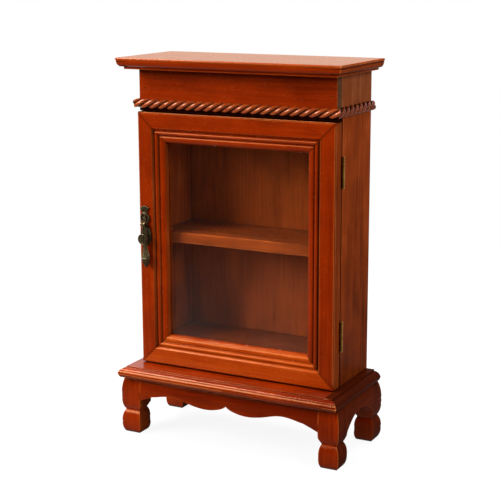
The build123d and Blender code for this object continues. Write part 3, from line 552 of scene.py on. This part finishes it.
# %% Finishes that change within a board
SIDEWAYS = 0.45  # the least sideways part in the normal of a face that counts as a side
STEEPER = 0.7  # and how much of the upward part it has to outdo


def shade_sides(piece, axis, finish="side"):
    """Faces that look sideways get a side finish: painted light and shade for how the lamps fall on a side.
    """
    piece.data.materials.append(wood(finish, axis))
    for face in piece.data.polygons:
        x, y, z = (abs(value) for value in face.normal)
        face.material_index = int(x > max(SIDEWAYS, y, z * STEEPER))


def darken(piece, chosen):
    """Chosen faces, which look into a gap or lie in a shadow, get the near-black edge finish: painted shade.
    """
    piece.data.materials.append(wood("edge", "x"))
    last = len(piece.data.materials) - 1
    for face in piece.data.polygons:
        if chosen(face):
            face.material_index = last


# %% Case, base and shelf
SIDE_X = 99.25  # half the width of the case
DOOR_BACK_Y, GAP_TOP_Z, ROPE_MIDDLE_Z = -14.0, 310.9, 315.0
RIGHT, BACKWARDS, UP = (1, 0, 0), (0, 1, 0), (0, 0, 1)
# Painted shadow: the plinth board darkens towards its right end, where the case shades it.
BLEND_X = 60.0  # from here the plinth board darkens towards its right end
PANEL_SCORES = [((0, DOOR_BACK_Y, 0), BACKWARDS), ((0, 0, ROPE_MIDDLE_Z), UP)]
SCORES = {
    "side_panel_left": PANEL_SCORES,
    "side_panel_right": PANEL_SCORES,
    "frieze_board": [((0, 0, GAP_TOP_Z), UP)],
    "plinth_board": [((BLEND_X, 0, 0), RIGHT), ((SIDE_X, 0, 0), RIGHT)],
}
# Node, finish, the way its grain runs, radius of its arrises in mm, tone, and wear, which also sets the
# painted highlight on the arrises.
BOARDS = [
    ("top_board", "front", "x", 0.35, 0.05, 1.0),
    ("frieze_board", "door", "x", 0.3, 0.03, 0.3),
    ("side_panel_left", "side", "z", 0.3, 0.166, 0.3),
    ("side_panel_right", "side", "z", 0.3, 0.166, 0.3),
    ("bottom_board", "inside", "x", 0.3, -0.08, 0.5),
    ("bottom_rail", "inside", "x", 0.3, 0.0, 0.5),
    ("ceiling_board", "inside", "x", 0.3, 0.0, 0.5),
    ("shelf", "inside", "x", 0.4, -0.02, 1.0),
    ("plinth_board", "plinth", "x", 0.3, -0.01, 0.6),
    ("leg_front_left", "front", "z", 0.7, 0.0, 0.4),
    # The darker tones of the right and rear legs are painted shade.
    ("leg_front_right", "front", "z", 0.7, -0.22, 0.5),
    ("leg_rear_left", "front", "z", 0.7, -0.15, 0.25),
    ("leg_rear_right", "front", "z", 0.7, -0.2, 0.25),
    ("apron_front", "front", "x", 0.25, -0.1, 0.25),
    ("apron_left", "front", "y", 0.25, -0.1, 0.25),
    ("apron_right", "front", "y", 0.25, -0.1, 0.25),
    ("base_back_rail", "front", "x", 0.4, -0.1, 0.25),
    ("back_panel", "inside", "z", 0.2, 0.0, 0.3),
]
# The side finishes on sideways faces are painted light and shade; the darker one is for the base, and these
# two take the lighter one.
BROWNER = ("top_board", "leg_front_left")  # these have the case's own side colour, not the darker one
made = {}
for number, (node, finish, axis, width, tone, wear_and_highlight) in enumerate(BOARDS, 1):
    scores = SCORES.get(node, ())
    piece = softened(node, f"{node}_wood", width, wood(finish, axis), number, tone, wear_and_highlight, scores=scores)
    if finish in ("front", "plinth"):
        shade_sides(piece, axis, "side" if node in BROWNER else "low_side")
    made[node] = piece
print("boards:", len(made))

# %% Boards with more than one finish
TOP_AREA = 0.01  # square metres: only the upper face of the top board is larger
TOP_SIDE_X = 100.0  # the side of its moulding lies further out
TOP_HOLLOWS = ((348.9, 350.3), (353.6, 355.45))  # and the moulding's hollows are at these heights
BEAD_TOP_Z, STEP_TOP_Z = 60.0, 66.0  # heights in the plinth's moulding
CHATTER = 9.0  # how deep the cutter left its ripples on the plinth's slopes

shade_sides(made["frieze_board"], "x", "end")
# Painted shadow: the strip of frieze below the rope, over the door's gap, gets the near-black finish.
darken(made["frieze_board"], lambda face: face.center.z < GAP_TOP_Z * MM)
for side in ("left", "right"):
    # Painted sheen and shade on the side panels: above the rope the greyer finish, and the near-black one on
    # the strip of the front edge behind the door.
    panel = made[f"side_panel_{side}"]
    panel.data.materials.append(wood("high_side", "z"))
    for face in panel.data.polygons:
        face.material_index = int(face.center.z > ROPE_MIDDLE_Z * MM)
    darken(panel, lambda face: face.center.y < DOOR_BACK_Y * MM and face.center.z < ROPE_MIDDLE_Z * MM)

# Painted sheen and shade on the top board: its upper face takes the pale top finish, and the hollows on its
# moulding's sides the dark side finish.
board = made["top_board"]
for finish in ("top", "low_side"):
    board.data.materials.append(wood(finish, "x"))
for face in board.data.polygons:
    in_hollow = any(low * MM < face.center.z < high * MM for low, high in TOP_HOLLOWS)
    if face.normal.z > 0.99 and face.area > TOP_AREA:
        face.material_index = 2
    elif abs(face.center.x) > TOP_SIDE_X * MM and in_hollow:
        face.material_index = 3

board = made["plinth_board"]
rippled = board.data.attributes.new("chatter", "FLOAT", "FACE")
rippled.data.foreach_set("value", [CHATTER * (0.2 < face.normal.z < 0.97) for face in board.data.polygons])
# Painted shadow: beyond the case's side, the plinth's top and sideways faces take the dark side finish.
for face in board.data.polygons:
    if face.center.x > SIDE_X * MM and abs(face.normal.y) <= abs(face.normal.x):
        face.material_index = 1
# Partly wear, partly painted highlight: the lower bead gets the palest arrises, the slope less, and the step
# at the top almost none.
for vertex, worn_and_highlit in zip(board.data.vertices, board.data.attributes["wear_and_highlight"].data):
    height = vertex.co.z / MM
    worn_and_highlit.value = 0.1 if height > STEP_TOP_Z else 1.5 if height < BEAD_TOP_Z else 0.6

for node, piece in made.items():
    hand_over(piece, "case", "back_board" if node == "back_panel" else "lacquered_wood", node)
print("boards with a body:", len(made))

# %% Door frame
GAP_LOW, GAP_HIGH = 70 * MM, 305 * MM  # level faces outside these look into the gap round the door
# Node, the way its grain runs, and tone.
DOOR_BOARDS = [
    ("door_stile_left", "z", -0.02),
    ("door_stile_right", "z", -0.01),
    ("door_rail_top", "x", 0.03),
    ("door_rail_bottom", "x", 0.4),
    ("glass_retainer_left", "z", 0.06),
    ("glass_retainer_right", "z", 0.12),
    ("glass_retainer_top", "x", 0.0),
    ("glass_retainer_bottom", "x", 0.0),
]
joinery = {"least_area": 4.0, "mitred": True, "outer": 0.6}
for number, (node, axis, tone) in enumerate(DOOR_BOARDS, 41):
    # Paler arrises on the door, partly wear and partly painted highlight; the bottom rail and bottom retainer
    # get a little less.
    wear_and_highlight = 1.4 if "bottom" in node else 1.8
    piece = softened(node, f"{node}_wood", 0.14, wood("door", axis), number, tone, wear_and_highlight, **joinery)
    shade_sides(piece, axis)
    # Painted shade: the level faces at the top and bottom of the rails, which look into the gaps round the
    # door, get the near-black finish.
    if node.startswith("door_rail"):
        darken(piece, lambda face: abs(face.normal.z) > 0.95 and not GAP_LOW < face.center.z < GAP_HIGH)
    hand_over(piece, "door", "lacquered_wood", node)
print("door boards:", len(DOOR_BOARDS))


# %% [markdown]
# ## Rope moulding
# A turned rope moulding is one rod with three strands cut into it that run round as a screw thread,
# here to the left. It repeats along its length, so Geometry Nodes draw it: a spiral carries a round
# section, and copies of it are set round the axis. The rod is then sawn along the face that is glued
# to the case and mitred at the corners. The helpers start a tree, end it and run it once.

# %% Helpers for Geometry Nodes
def new_tree(name, **sockets):
    """A new tree with a geometry output, and its inputs: these, listed by kind, and a material."""
    tree = bpy.data.node_groups.new(name, "GeometryNodeTree")
    for kind, names in dict(sockets, Material="Material").items():
        for label in names.split(", "):
            tree.interface.new_socket(label, in_out="INPUT", socket_type=f"NodeSocket{kind}")
    tree.interface.new_socket("Geometry", in_out="OUTPUT", socket_type="NodeSocketGeometry")
    return tree, add(tree, "NodeGroupInput").outputs


def round_axis(tree, shape, count, step, first):
    """Copies of a shape round the upright axis, each a step further round than the last."""
    index = add(tree, "GeometryNodeInputIndex")
    angle = add(tree, "ShaderNodeMath", {0: index, 1: step, 2: first}, operation="MULTIPLY_ADD")
    turn = add(tree, "FunctionNodeAxisAngleToRotation", {"Axis": UP, "Angle": angle})
    points = add(tree, "GeometryNodePoints", {"Count": count})
    copies = {"Points": points, "Instance": shape, "Rotation": turn}
    return add(tree, "GeometryNodeInstanceOnPoints", copies)


def end_tree(tree, shape, given):
    """The last nodes: the shape in its place, real instead of copies by reference, and coated."""
    if "Turn" in given:
        turn = add(tree, "FunctionNodeEulerToRotation", {0: given["Turn"]})
        place = {"Geometry": shape, "Translation": given["Place"], "Rotation": turn}
        shape = add(tree, "GeometryNodeTransform", place)
    shape = add(tree, "GeometryNodeRealizeInstances", {0: shape})
    if "Turn" in given:
        shape = add(tree, "GeometryNodeSetShadeSmooth", {"Geometry": shape})
    shape = add(tree, "GeometryNodeSetMaterial", {"Geometry": shape, "Material": given["Material"]})
    add(tree, "NodeGroupOutput", {0: shape})
    print(tree.name, "nodes:", len(tree.nodes))


def grown(name, tree, values, base=None):
    """Run a Geometry Nodes tree once with these named inputs and keep the mesh that it makes."""
    carrier = linked("carrier", base or bpy.data.meshes.new("carrier"))
    modifier = carrier.modifiers.new("tree", "NODES")
    modifier.node_group = tree
    for socket in tree.interface.items_tree:
        if socket.item_type == "SOCKET" and socket.in_out == "INPUT" and socket.name in values:
            modifier[socket.identifier] = values[socket.name]
    ready = carrier.evaluated_get(bpy.context.evaluated_depsgraph_get())
    mesh = bpy.data.meshes.new_from_object(ready)
    mesh.name = name
    bpy.data.objects.remove(carrier)
    return mesh


# %% The tree that twists a rope
sizes = "Length, Lead, Strand Radius, Strand Circle, Core Radius"
tree, given = new_tree("twisted_rope", Float=sizes, Int="Strands", Vector="Place, Turn")
length, circle = given["Length"], given["Strand Circle"]
turns = add(tree, "ShaderNodeMath", {0: length, 1: given["Lead"]}, operation="DIVIDE")
path = {"Resolution": 36, "Rotations": turns, "Start Radius": circle, "End Radius": circle}
spiral = add(tree, "GeometryNodeCurveSpiral", {**path, "Height": length})
outline = {"Resolution": 20, "Radius": given["Strand Radius"]}
section = add(tree, "GeometryNodeCurvePrimitiveCircle", outline)
strand = add(tree, "GeometryNodeCurveToMesh", {"Curve": spiral, "Profile Curve": section, "Fill Caps": True})
step = add(tree, "ShaderNodeMath", {0: math.tau, 1: given["Strands"]}, operation="DIVIDE")
copies = round_axis(tree, strand, given["Strands"], step, 0.0)
rod = {"Vertices": 24, "Radius": given["Core Radius"], "Depth": length}
core = add(tree, "GeometryNodeMeshCylinder", rod)
half = add(tree, "ShaderNodeMath", {0: length, 1: 0.5}, operation="MULTIPLY")
middle = add(tree, "ShaderNodeCombineXYZ", {"Z": half})
core = add(tree, "GeometryNodeTransform", {"Geometry": core, "Translation": middle})
rope = add(tree, "GeometryNodeJoinGeometry", {0: copies})
tree.links.new(core.outputs[0], rope.inputs[0])
end_tree(tree, rope, given)
rope_tree = tree


# %% Three lengths of rope, mitred at the front corners
def sawn(mesh, *cuts):
    """Cut a mesh by planes, each a point and the direction thrown away, and close the cut."""
    work = bmesh.new()
    work.from_mesh(mesh)
    for point, away in cuts:
        scored(work, Vector(point) * MM, away, clear_outer=True)
        bmesh.ops.holes_fill(work, edges=[edge for edge in work.edges if edge.is_boundary], sides=0)
    return finished(work, mesh, crease=40)


FRIEZE_Y, BACK_Y = -25.85, 50.05  # front of the frieze and back of the case
ROPE_RADIUS, ROPE_OFF, ROPE_Z, ROPE_LEAD = 4.4, 0.8, 314.8, 28.5  # lead: how long one whole turn is
STRAND_RADIUS, CORE_RADIUS = 2.0, 1.9
SPARE = 6  # left on each end, to be sawn off
twist = {
    "Lead": ROPE_LEAD * MM,
    "Strands": 3,
    "Strand Radius": STRAND_RADIUS * MM,
    "Strand Circle": (ROPE_RADIUS - STRAND_RADIUS) * MM,
    "Core Radius": CORE_RADIUS * MM,
}
ropes = {"front": ((-SIDE_X - SPARE, FRIEZE_Y - ROPE_OFF, ROPE_Z), (0, math.pi / 2, 0), 2 * (SIDE_X + SPARE))}
corner = (SIDE_X, FRIEZE_Y, 0)
cuts = {"front": [(corner, BACKWARDS), (corner, (1, 1, 0)), ((-SIDE_X, FRIEZE_Y, 0), (-1, 1, 0))]}
for side, out in (("right", 1), ("left", -1)):
    start = (out * (SIDE_X + ROPE_OFF), FRIEZE_Y - SPARE, ROPE_Z)
    ropes[side] = (start, (-math.pi / 2, 0, 0), BACK_Y - FRIEZE_Y + SPARE + 1)
    corner = (out * SIDE_X, FRIEZE_Y, 0)
    cuts[side] = [(corner, (-out, 0, 0)), (corner, (-out, -1, 0)), ((0, BACK_Y, 0), BACKWARDS)]
for number, (side, (start, turn, length)) in enumerate(ropes.items(), 60):
    # The side ropes take the duller, darker finish: painted shade.
    finish = wood("rope", "x") if side == "front" else wood("low_rope", "y")
    values = dict(twist, Length=length * MM, Place=Vector(start) * MM, Turn=turn, Material=finish)
    mesh = sawn(grown(f"rope_{side}", rope_tree, values), *cuts[side])
    for field, value in (("board", number), ("tone", 0.0), ("wear_and_highlight", 0.3)):
        named_value(mesh, field, value)
    hand_over(linked(f"rope_moulding_{side}_wood", mesh), "case", "lacquered_wood", f"rope_moulding_{side}")
    print(f"rope {side}:", len(mesh.polygons), "faces")


# %% [markdown]
# ## The pane
# The pane is held in the rebate behind the door's mouldings. Its edges are seamed, which means that
# the sharp corners are ground off, so a narrow bevel goes on the copied solid.

# %% Pane
sheet = softened("door_glass", "door_glass_pane", 0.3, clear_glass, least_area=100.0)
hand_over(sheet, "door", "door_glass", "door_glass")
print("pane:", sheet.name)


# %% [markdown]
# ## Hinges
# Each butt hinge is two stamped leaves whose knuckles are rolled round one pin. The knuckles' ends are
# the only edges that show when the door is shut, and a small bevel there draws the dark line between
# one knuckle and the next.

# %% Hinges
for level in ("upper", "lower"):
    for part, body in (("case_leaf", "case"), ("door_leaf", "door"), ("pin", "case")):
        node = f"hinge_{level}_{part}"
        hand_over(softened(node, f"{node}_brass", 0.1, dull_brass, least_area=0.4), body, "hinge_brass", node)
print("hinge pieces: 6")


# %% [markdown]
# ## Screws, nails and pins
# These repeat, so a Geometry Nodes tree makes them: a cone for the countersunk head, a cylinder for
# the shank, and a bar that is cut out of the head for the screwdriver's slot. It sets one copy at each
# point of the mesh that it is given and turns it to that point's "aim", the way the head looks.

# %% The tree that sets fixings
FIXING_SIZES = "Head Radius, Head Depth, Shank Radius, Length, Slot Width, Slot Depth"
tree, given = new_tree("set_fixings", Geometry="Places", Float=FIXING_SIZES)
wide, depth, narrow = given["Head Radius"], given["Head Depth"], given["Shank Radius"]
cone = {"Vertices": 28, "Radius Top": wide, "Radius Bottom": narrow, "Depth": depth}
head = add(tree, "GeometryNodeMeshCone", cone)
sunk = add(tree, "ShaderNodeMath", {0: depth, 1: -1.0}, operation="MULTIPLY")
place = add(tree, "ShaderNodeCombineXYZ", {"Z": sunk})
head = add(tree, "GeometryNodeTransform", {"Geometry": head, "Translation": place})
across = add(tree, "ShaderNodeMath", {0: wide, 1: 3.0}, operation="MULTIPLY")
height = add(tree, "ShaderNodeMath", {0: given["Slot Depth"], 1: 2.0}, operation="MULTIPLY")
size = add(tree, "ShaderNodeCombineXYZ", {"X": across, "Y": given["Slot Width"], "Z": height})
bar = add(tree, "GeometryNodeMeshCube", {"Size": size})
slotted = add(tree, "GeometryNodeMeshBoolean", {0: head, 1: bar}, operation="DIFFERENCE")
has_slot = add(tree, "FunctionNodeCompare", {0: given["Slot Width"], 1: 0.0}, operation="GREATER_THAN")
choice = {"Switch": has_slot, "False": head, "True": slotted}
head = add(tree, "GeometryNodeSwitch", choice, input_type="GEOMETRY")
length = given["Length"]
shank = add(tree, "GeometryNodeMeshCylinder", {"Vertices": 16, "Radius": narrow, "Depth": length})
middle = add(tree, "ShaderNodeMath", {0: length, 1: -0.5, 2: sunk}, operation="MULTIPLY_ADD")
place = add(tree, "ShaderNodeCombineXYZ", {"Z": middle})
shank = add(tree, "GeometryNodeTransform", {"Geometry": shank, "Translation": place})
whole = add(tree, "GeometryNodeJoinGeometry", {0: shank})
tree.links.new(head.outputs[0], whole.inputs[0])
aim = add(tree, "GeometryNodeInputNamedAttribute", {"Name": "aim"}, data_type="FLOAT_VECTOR")
turned = add(tree, "FunctionNodeAlignRotationToVector", {"Vector": aim}, axis="Z")
setting = {"Points": given["Places"], "Instance": whole, "Rotation": turned}
copies = add(tree, "GeometryNodeInstanceOnPoints", setting)
end_tree(tree, copies, given)
fixing_tree = tree


# %% Set the fixings
def fixings(node, body, slot, material, places, aims, sizes):
    """Fixings of one kind at these places, each looking along its own aim.

    Sizes are head radius, head depth, shank radius, whole length and width of the slot.
    """
    head_radius, head_depth, radius, length, slot_width = sizes
    base = bpy.data.meshes.new("places")
    base.from_pydata([Vector(place) * MM for place in places], [], [])
    stored = base.attributes.new("aim", "FLOAT_VECTOR", "POINT")
    stored.data.foreach_set("vector", [value for aim in aims for value in aim])
    sizes = (head_radius, head_depth, radius, length - head_depth, slot_width, head_depth * 0.6)
    values = {name: size * MM for name, size in zip(FIXING_SIZES.split(", "), sizes)}
    mesh = grown(f"{node}_set", fixing_tree, dict(values, Material=material), base)
    hand_over(linked(f"{node}_set", mesh), body, slot, node)
    print(node, len(places), "pieces,", len(mesh.polygons), "faces")


SCREW, PANEL_PIN, SMALL_NAIL = (1.7, 0.75, 0.8, 8.0, 0.45), (1.3, 0.6, 0.6, 8.0, 0), (1.0, 0.5, 0.5, 6.0, 0)
WIDE_BRAD, BRAD = (0.85, 0.5, 0.5, 20.0, 0), (0.6, 0.5, 0.5, 20.0, 0)
FORWARDS, SIDES = (0, -1, 0), (-1, 1)
SCREW_X, HINGE_Y, HINGE_LEVELS, SCREW_APART = 95.4, -16.85, (115.2, 262.9), 14.0
LEAF_FACE = 0.05  # from the middle between the two leaves to the face of each
heights = [middle + side * SCREW_APART / 2 for middle in HINGE_LEVELS for side in SIDES]
for leaf, toward in (("case", 1), ("door", -1)):
    places = [(SCREW_X, HINGE_Y + toward * LEAF_FACE, z) for z in heights]
    aims = [(0, -toward, 0)] * len(places)
    fixings(f"hinge_{leaf}_screws", leaf, "hinge_brass", dull_brass, places, aims, SCREW)

PIN_X, PANEL_FOOT, PANEL_HEIGHT, PIN_ROWS = 90.75, 66.7, 280.1, 4
levels = [PANEL_FOOT + PANEL_HEIGHT * (row + 0.5) / PIN_ROWS for row in range(PIN_ROWS)]
places = [(side * PIN_X, BACK_Y, z) for side in SIDES for z in levels]
aims = [BACKWARDS] * len(places)
fixings("back_panel_pins", "case", "steel", plain_steel, places, aims, PANEL_PIN)

places = [(side * 93.5, FRIEZE_Y + 1.2, 329.2) for side in SIDES]
fixings("frieze_brads", "case", "steel", black_steel, places, [FORWARDS] * 2, WIDE_BRAD)

spots = [(side, y) for side in SIDES for y in (-3.05, 38.65)]
places = [(side * 98.05, y, 188.75) for side, y in spots]
aims = [(side, 0, 0) for side, y in spots]
fixings("shelf_brads", "case", "steel", black_steel, places, aims, BRAD)


# %% [markdown]
# ## Catch and dowels
# A round magnet in the left side panel holds the door by a steel strike in its back. The dowels in the
# joints are beech, cut from plain rod, and show only when the case is taken apart.

# %% Catch and dowels
for node, body in (("catch_magnet", "case"), ("catch_strike", "door")):
    hand_over(softened(node, f"{node}_nickel", 0.15, plain_steel, least_area=1.0), body, "steel", node)
beech = figured_wood("beech_dowel_rod", 2, "#a9804f #c49c6c #d8b88c #d8b88c #ffffff", 1.3, 0.5, 0.3)
for node in ("leg_dowels", "case_dowels"):
    for held in frame["nodes"][node].material_slots:
        held.material = beech
print("dowels:", beech.name)


# %% [markdown]
# ## The drop pull
# The pull is two thin castings. The backplate has a crown of leaves, a pierced ring with a flower and a
# plain shield, and the drop hangs from a pin between its two ears: a rosette like a small wheel, a
# fluted bell, a beaded band and an acorn. Petals, leaves and beads are one shape repeated round a
# centre, so a Geometry Nodes tree sets them. The turned parts are skins over rings of points.

# %% The tree that sets petals round a centre
sizes = {"Float": "First, Step, Circle", "Vector": "Half Sizes, Place, Turn"}
tree, given = new_tree("petals_round_centre", Int="Count", **sizes)
ball = add(tree, "GeometryNodeMeshUVSphere", {"Segments": 14, "Rings": 9, "Radius": 1.0})
across = add(tree, "ShaderNodeCombineXYZ", {"X": given["Circle"]})
shape = {"Geometry": ball, "Translation": across, "Scale": given["Half Sizes"]}
petal = add(tree, "GeometryNodeTransform", shape)
copies = round_axis(tree, petal, given["Count"], given["Step"], given["First"])
end_tree(tree, copies, given)
petal_tree = tree


# %% Helpers for the castings
TO_FRONT = (math.pi / 2, 0, 0)  # lays a pattern drawn flat against the door


def petals(count, circle, half_sizes, centre, turn=TO_FRONT, first=90.0, step=None):
    """Petals round a centre, in millimetres and degrees."""
    step = math.radians(360 / count if step is None else step)
    values = {"Count": count, "First": math.radians(first), "Step": step, "Turn": turn}
    sizes = {"Circle": circle * MM, "Half Sizes": Vector(half_sizes) * MM, "Place": Vector(centre) * MM}
    return grown("petals", petal_tree, {**values, **sizes, "Material": antique_brass})


PLANES = {"up": (RIGHT, BACKWARDS), "front": (RIGHT, UP), "side": (BACKWARDS, UP)}


def ring(centre, radii, turn, count, flutes=0, depth=0.0):
    """Points round a centre, in a plane that faces up, to the door's front or to its side."""
    first, second = (Vector(direction) for direction in PLANES[turn])
    points = []
    for number in range(count):
        angle = math.tau * number / count
        scale = 1.0 - depth * abs(math.sin(flutes * angle / 2)) if flutes else 1.0
        across, other = radii[0] * scale * math.cos(angle), radii[1] * scale * math.sin(angle)
        points.append(Vector(centre) + first * across + second * other)
    return points


def skinned(rings, loop=False):
    """A closed skin over rings of points: capped at both ends, or joined end to end."""
    work = bmesh.new()
    rows = [[work.verts.new(point * MM) for point in row] for row in rings]
    for low, high in zip(rows, rows[1:] + rows[:1] if loop else rows[1:]):
        for number in range(len(low)):
            after = (number + 1) % len(low)
            work.faces.new((low[number], low[after], high[after], high[number]))
    if not loop:
        work.faces.new(rows[0])
        work.faces.new(rows[-1])
    bmesh.ops.recalc_face_normals(work, faces=work.faces)
    for face in work.faces:
        face.smooth = True
    return finished(work, bpy.data.meshes.new("skin"), crease=50)


def hoop(centre, radii, thickness, sides=10):
    """A ring of wire with so many sides, lying against the plate."""
    rows = []
    for number in range(sides):
        angle = math.tau * number / sides
        middle = Vector(centre) + Vector(FORWARDS) * thickness * math.sin(angle)
        rows.append(ring(middle, [radius + thickness * math.cos(angle) for radius in radii], "front", 64))
    return skinned(rows, loop=True)


def cast(name, *meshes):
    """Several closed skins as one casting, placed on the door with the pull's slight lean."""
    work = bmesh.new()
    for mesh in meshes:
        work.from_mesh(mesh)
    mesh = finished(work, bpy.data.meshes.new(name))
    mesh.transform(PULL_PLACE)
    return linked(name, mesh, antique_brass)


PULL_POINT, PULL_LEAN = Vector((-91.7, -29.35, 182.3)), math.radians(-3.5)
PULL_PLACE = Matrix.Translation(PULL_POINT * MM) @ Matrix.Rotation(PULL_LEAN, 4, "Y")
print("pull stands at:", PULL_POINT)

# %% Backplate
RING_Z, PLATE_FACE_Y = 25.9, -1.8
plate = softened("pull_backplate", "pull_backplate_casting", 0.2, antique_brass, least_area=0.3)
hand_over(plate, "door", "antique_brass", "pull_backplate")
relief = cast(
    "pull_backplate_relief",
    hoop((0, PLATE_FACE_Y, RING_Z), (4.15, 4.15), 0.55),
    hoop((0, -1.75, 9.4), (4.7, 8.4), 0.45),
    petals(5, 1.5, (1.15, 0.62, 0.55), (0, PLATE_FACE_Y, RING_Z)),
    petals(1, 0.0, (0.6, 0.6, 0.7), (0, -1.9, RING_Z)),
    petals(5, 4.3, (3.1, 0.62, 0.5), (0, -1.75, 30.5), first=50.0, step=20.0),
    petals(1, 0.0, (2.6, 0.8, 0.7), (0, -1.9, 31.0), first=0.0),
)
hand_over(relief, "door", "antique_brass")
pivot = softened("pull_pivot_pin", "pull_pivot_pin_brass", 0.12, antique_brass, least_area=0.2)
hand_over(pivot, "door", "antique_brass", "pull_pivot_pin")
places = [(PULL_PLACE @ (Vector((0, PLATE_FACE_Y, rise)) * MM)) / MM for rise in (2.4, 30.5)]
fixings("pull_nails", "door", "antique_brass", antique_brass, places, [FORWARDS] * 2, SMALL_NAIL)

# %% Drop
ROSETTE_Z, PETAL_Y, BELL_Y, SHANK_Y, EYE_Z = 6.8, -7.6, -4.8, -5.5, 20.8
# How far out each row of points lies, then its radius.
ROSETTE_ROWS = [
    (-6.0, 0.4), (-6.0, 4.6), (-6.2, 5.05), (-6.7, 5.2), (-7.9, 5.2), (-8.3, 5.0), (-8.4, 4.7), (-8.3, 4.4),
    (-7.8, 4.2), (-7.5, 3.9), (-7.5, 0.4),
]
# Height, radius and depth of the flutes, from the top of the bell down to the tip of the acorn.
BELL_ROWS = [
    (6.8, 1.8, 0), (4, 1.8, 0), (1.5, 1.85, 0.08), (-1, 2.05, 0.14), (-3.5, 2.4, 0.18),
    (-6, 2.9, 0.2), (-8, 3.35, 0.2), (-9.6, 3.75, 0.16), (-10.5, 3.9, 0.06), (-10.9, 3.8, 0),
    (-11.1, 4.1, 0), (-11.5, 3.6, 0), (-12.2, 3.6, 0), (-12.5, 4.1, 0), (-12.8, 3.7, 0),
    (-13.2, 3.75, 0.05), (-14, 3.75, 0.1), (-15, 3.6, 0.12), (-16, 3.25, 0.12), (-17, 2.8, 0.12),
    (-18, 2.25, 0.12), (-19, 1.6, 0.1), (-19.9, 0.95, 0), (-20.6, 0.4, 0), (-20.85, 0.12, 0),
]
# Height and half the width of the shank; then place and radius round the eye that the pin goes through.
SHANK_ROWS = [(8.0, 1.7), (11.0, 1.5), (13.0, 1.2), (15.0, 1.15), (17.5, 1.2), (19.6, 1.2)]
EYE_ROWS = [(-1.2, 0.68), (-1.2, 1.3), (-0.9, 1.6), (0.9, 1.6), (1.2, 1.3), (1.2, 0.68)]
disc = [ring((0, y, ROSETTE_Z), (radius, radius), "front", 56) for y, radius in ROSETTE_ROWS]
bell = [ring((0, BELL_Y, z), (radius, radius), "up", 96, 12, flute) for z, radius, flute in BELL_ROWS]
shank = [ring((0, SHANK_Y, z), (half, 0.95), "up", 24) for z, half in SHANK_ROWS]
eye = [ring((x, SHANK_Y, EYE_Z), (radius, radius), "side", 32) for x, radius in EYE_ROWS]
drop = cast(
    "pull_drop_casting",
    skinned(disc),
    skinned(bell),
    skinned(shank),
    skinned(eye, loop=True),
    petals(8, 2.75, (1.15, 0.72, 0.75), (0, PETAL_Y, ROSETTE_Z)),
    petals(1, 0.0, (1.15, 1.15, 0.95), (0, PETAL_Y, ROSETTE_Z)),
    petals(18, 3.75, (0.62, 0.62, 0.62), (0, BELL_Y, -11.85), turn=(0, 0, 0)),
)
hand_over(drop, "pull", "antique_brass", "pull_drop")
print("drop faces:", len(drop.data.polygons))
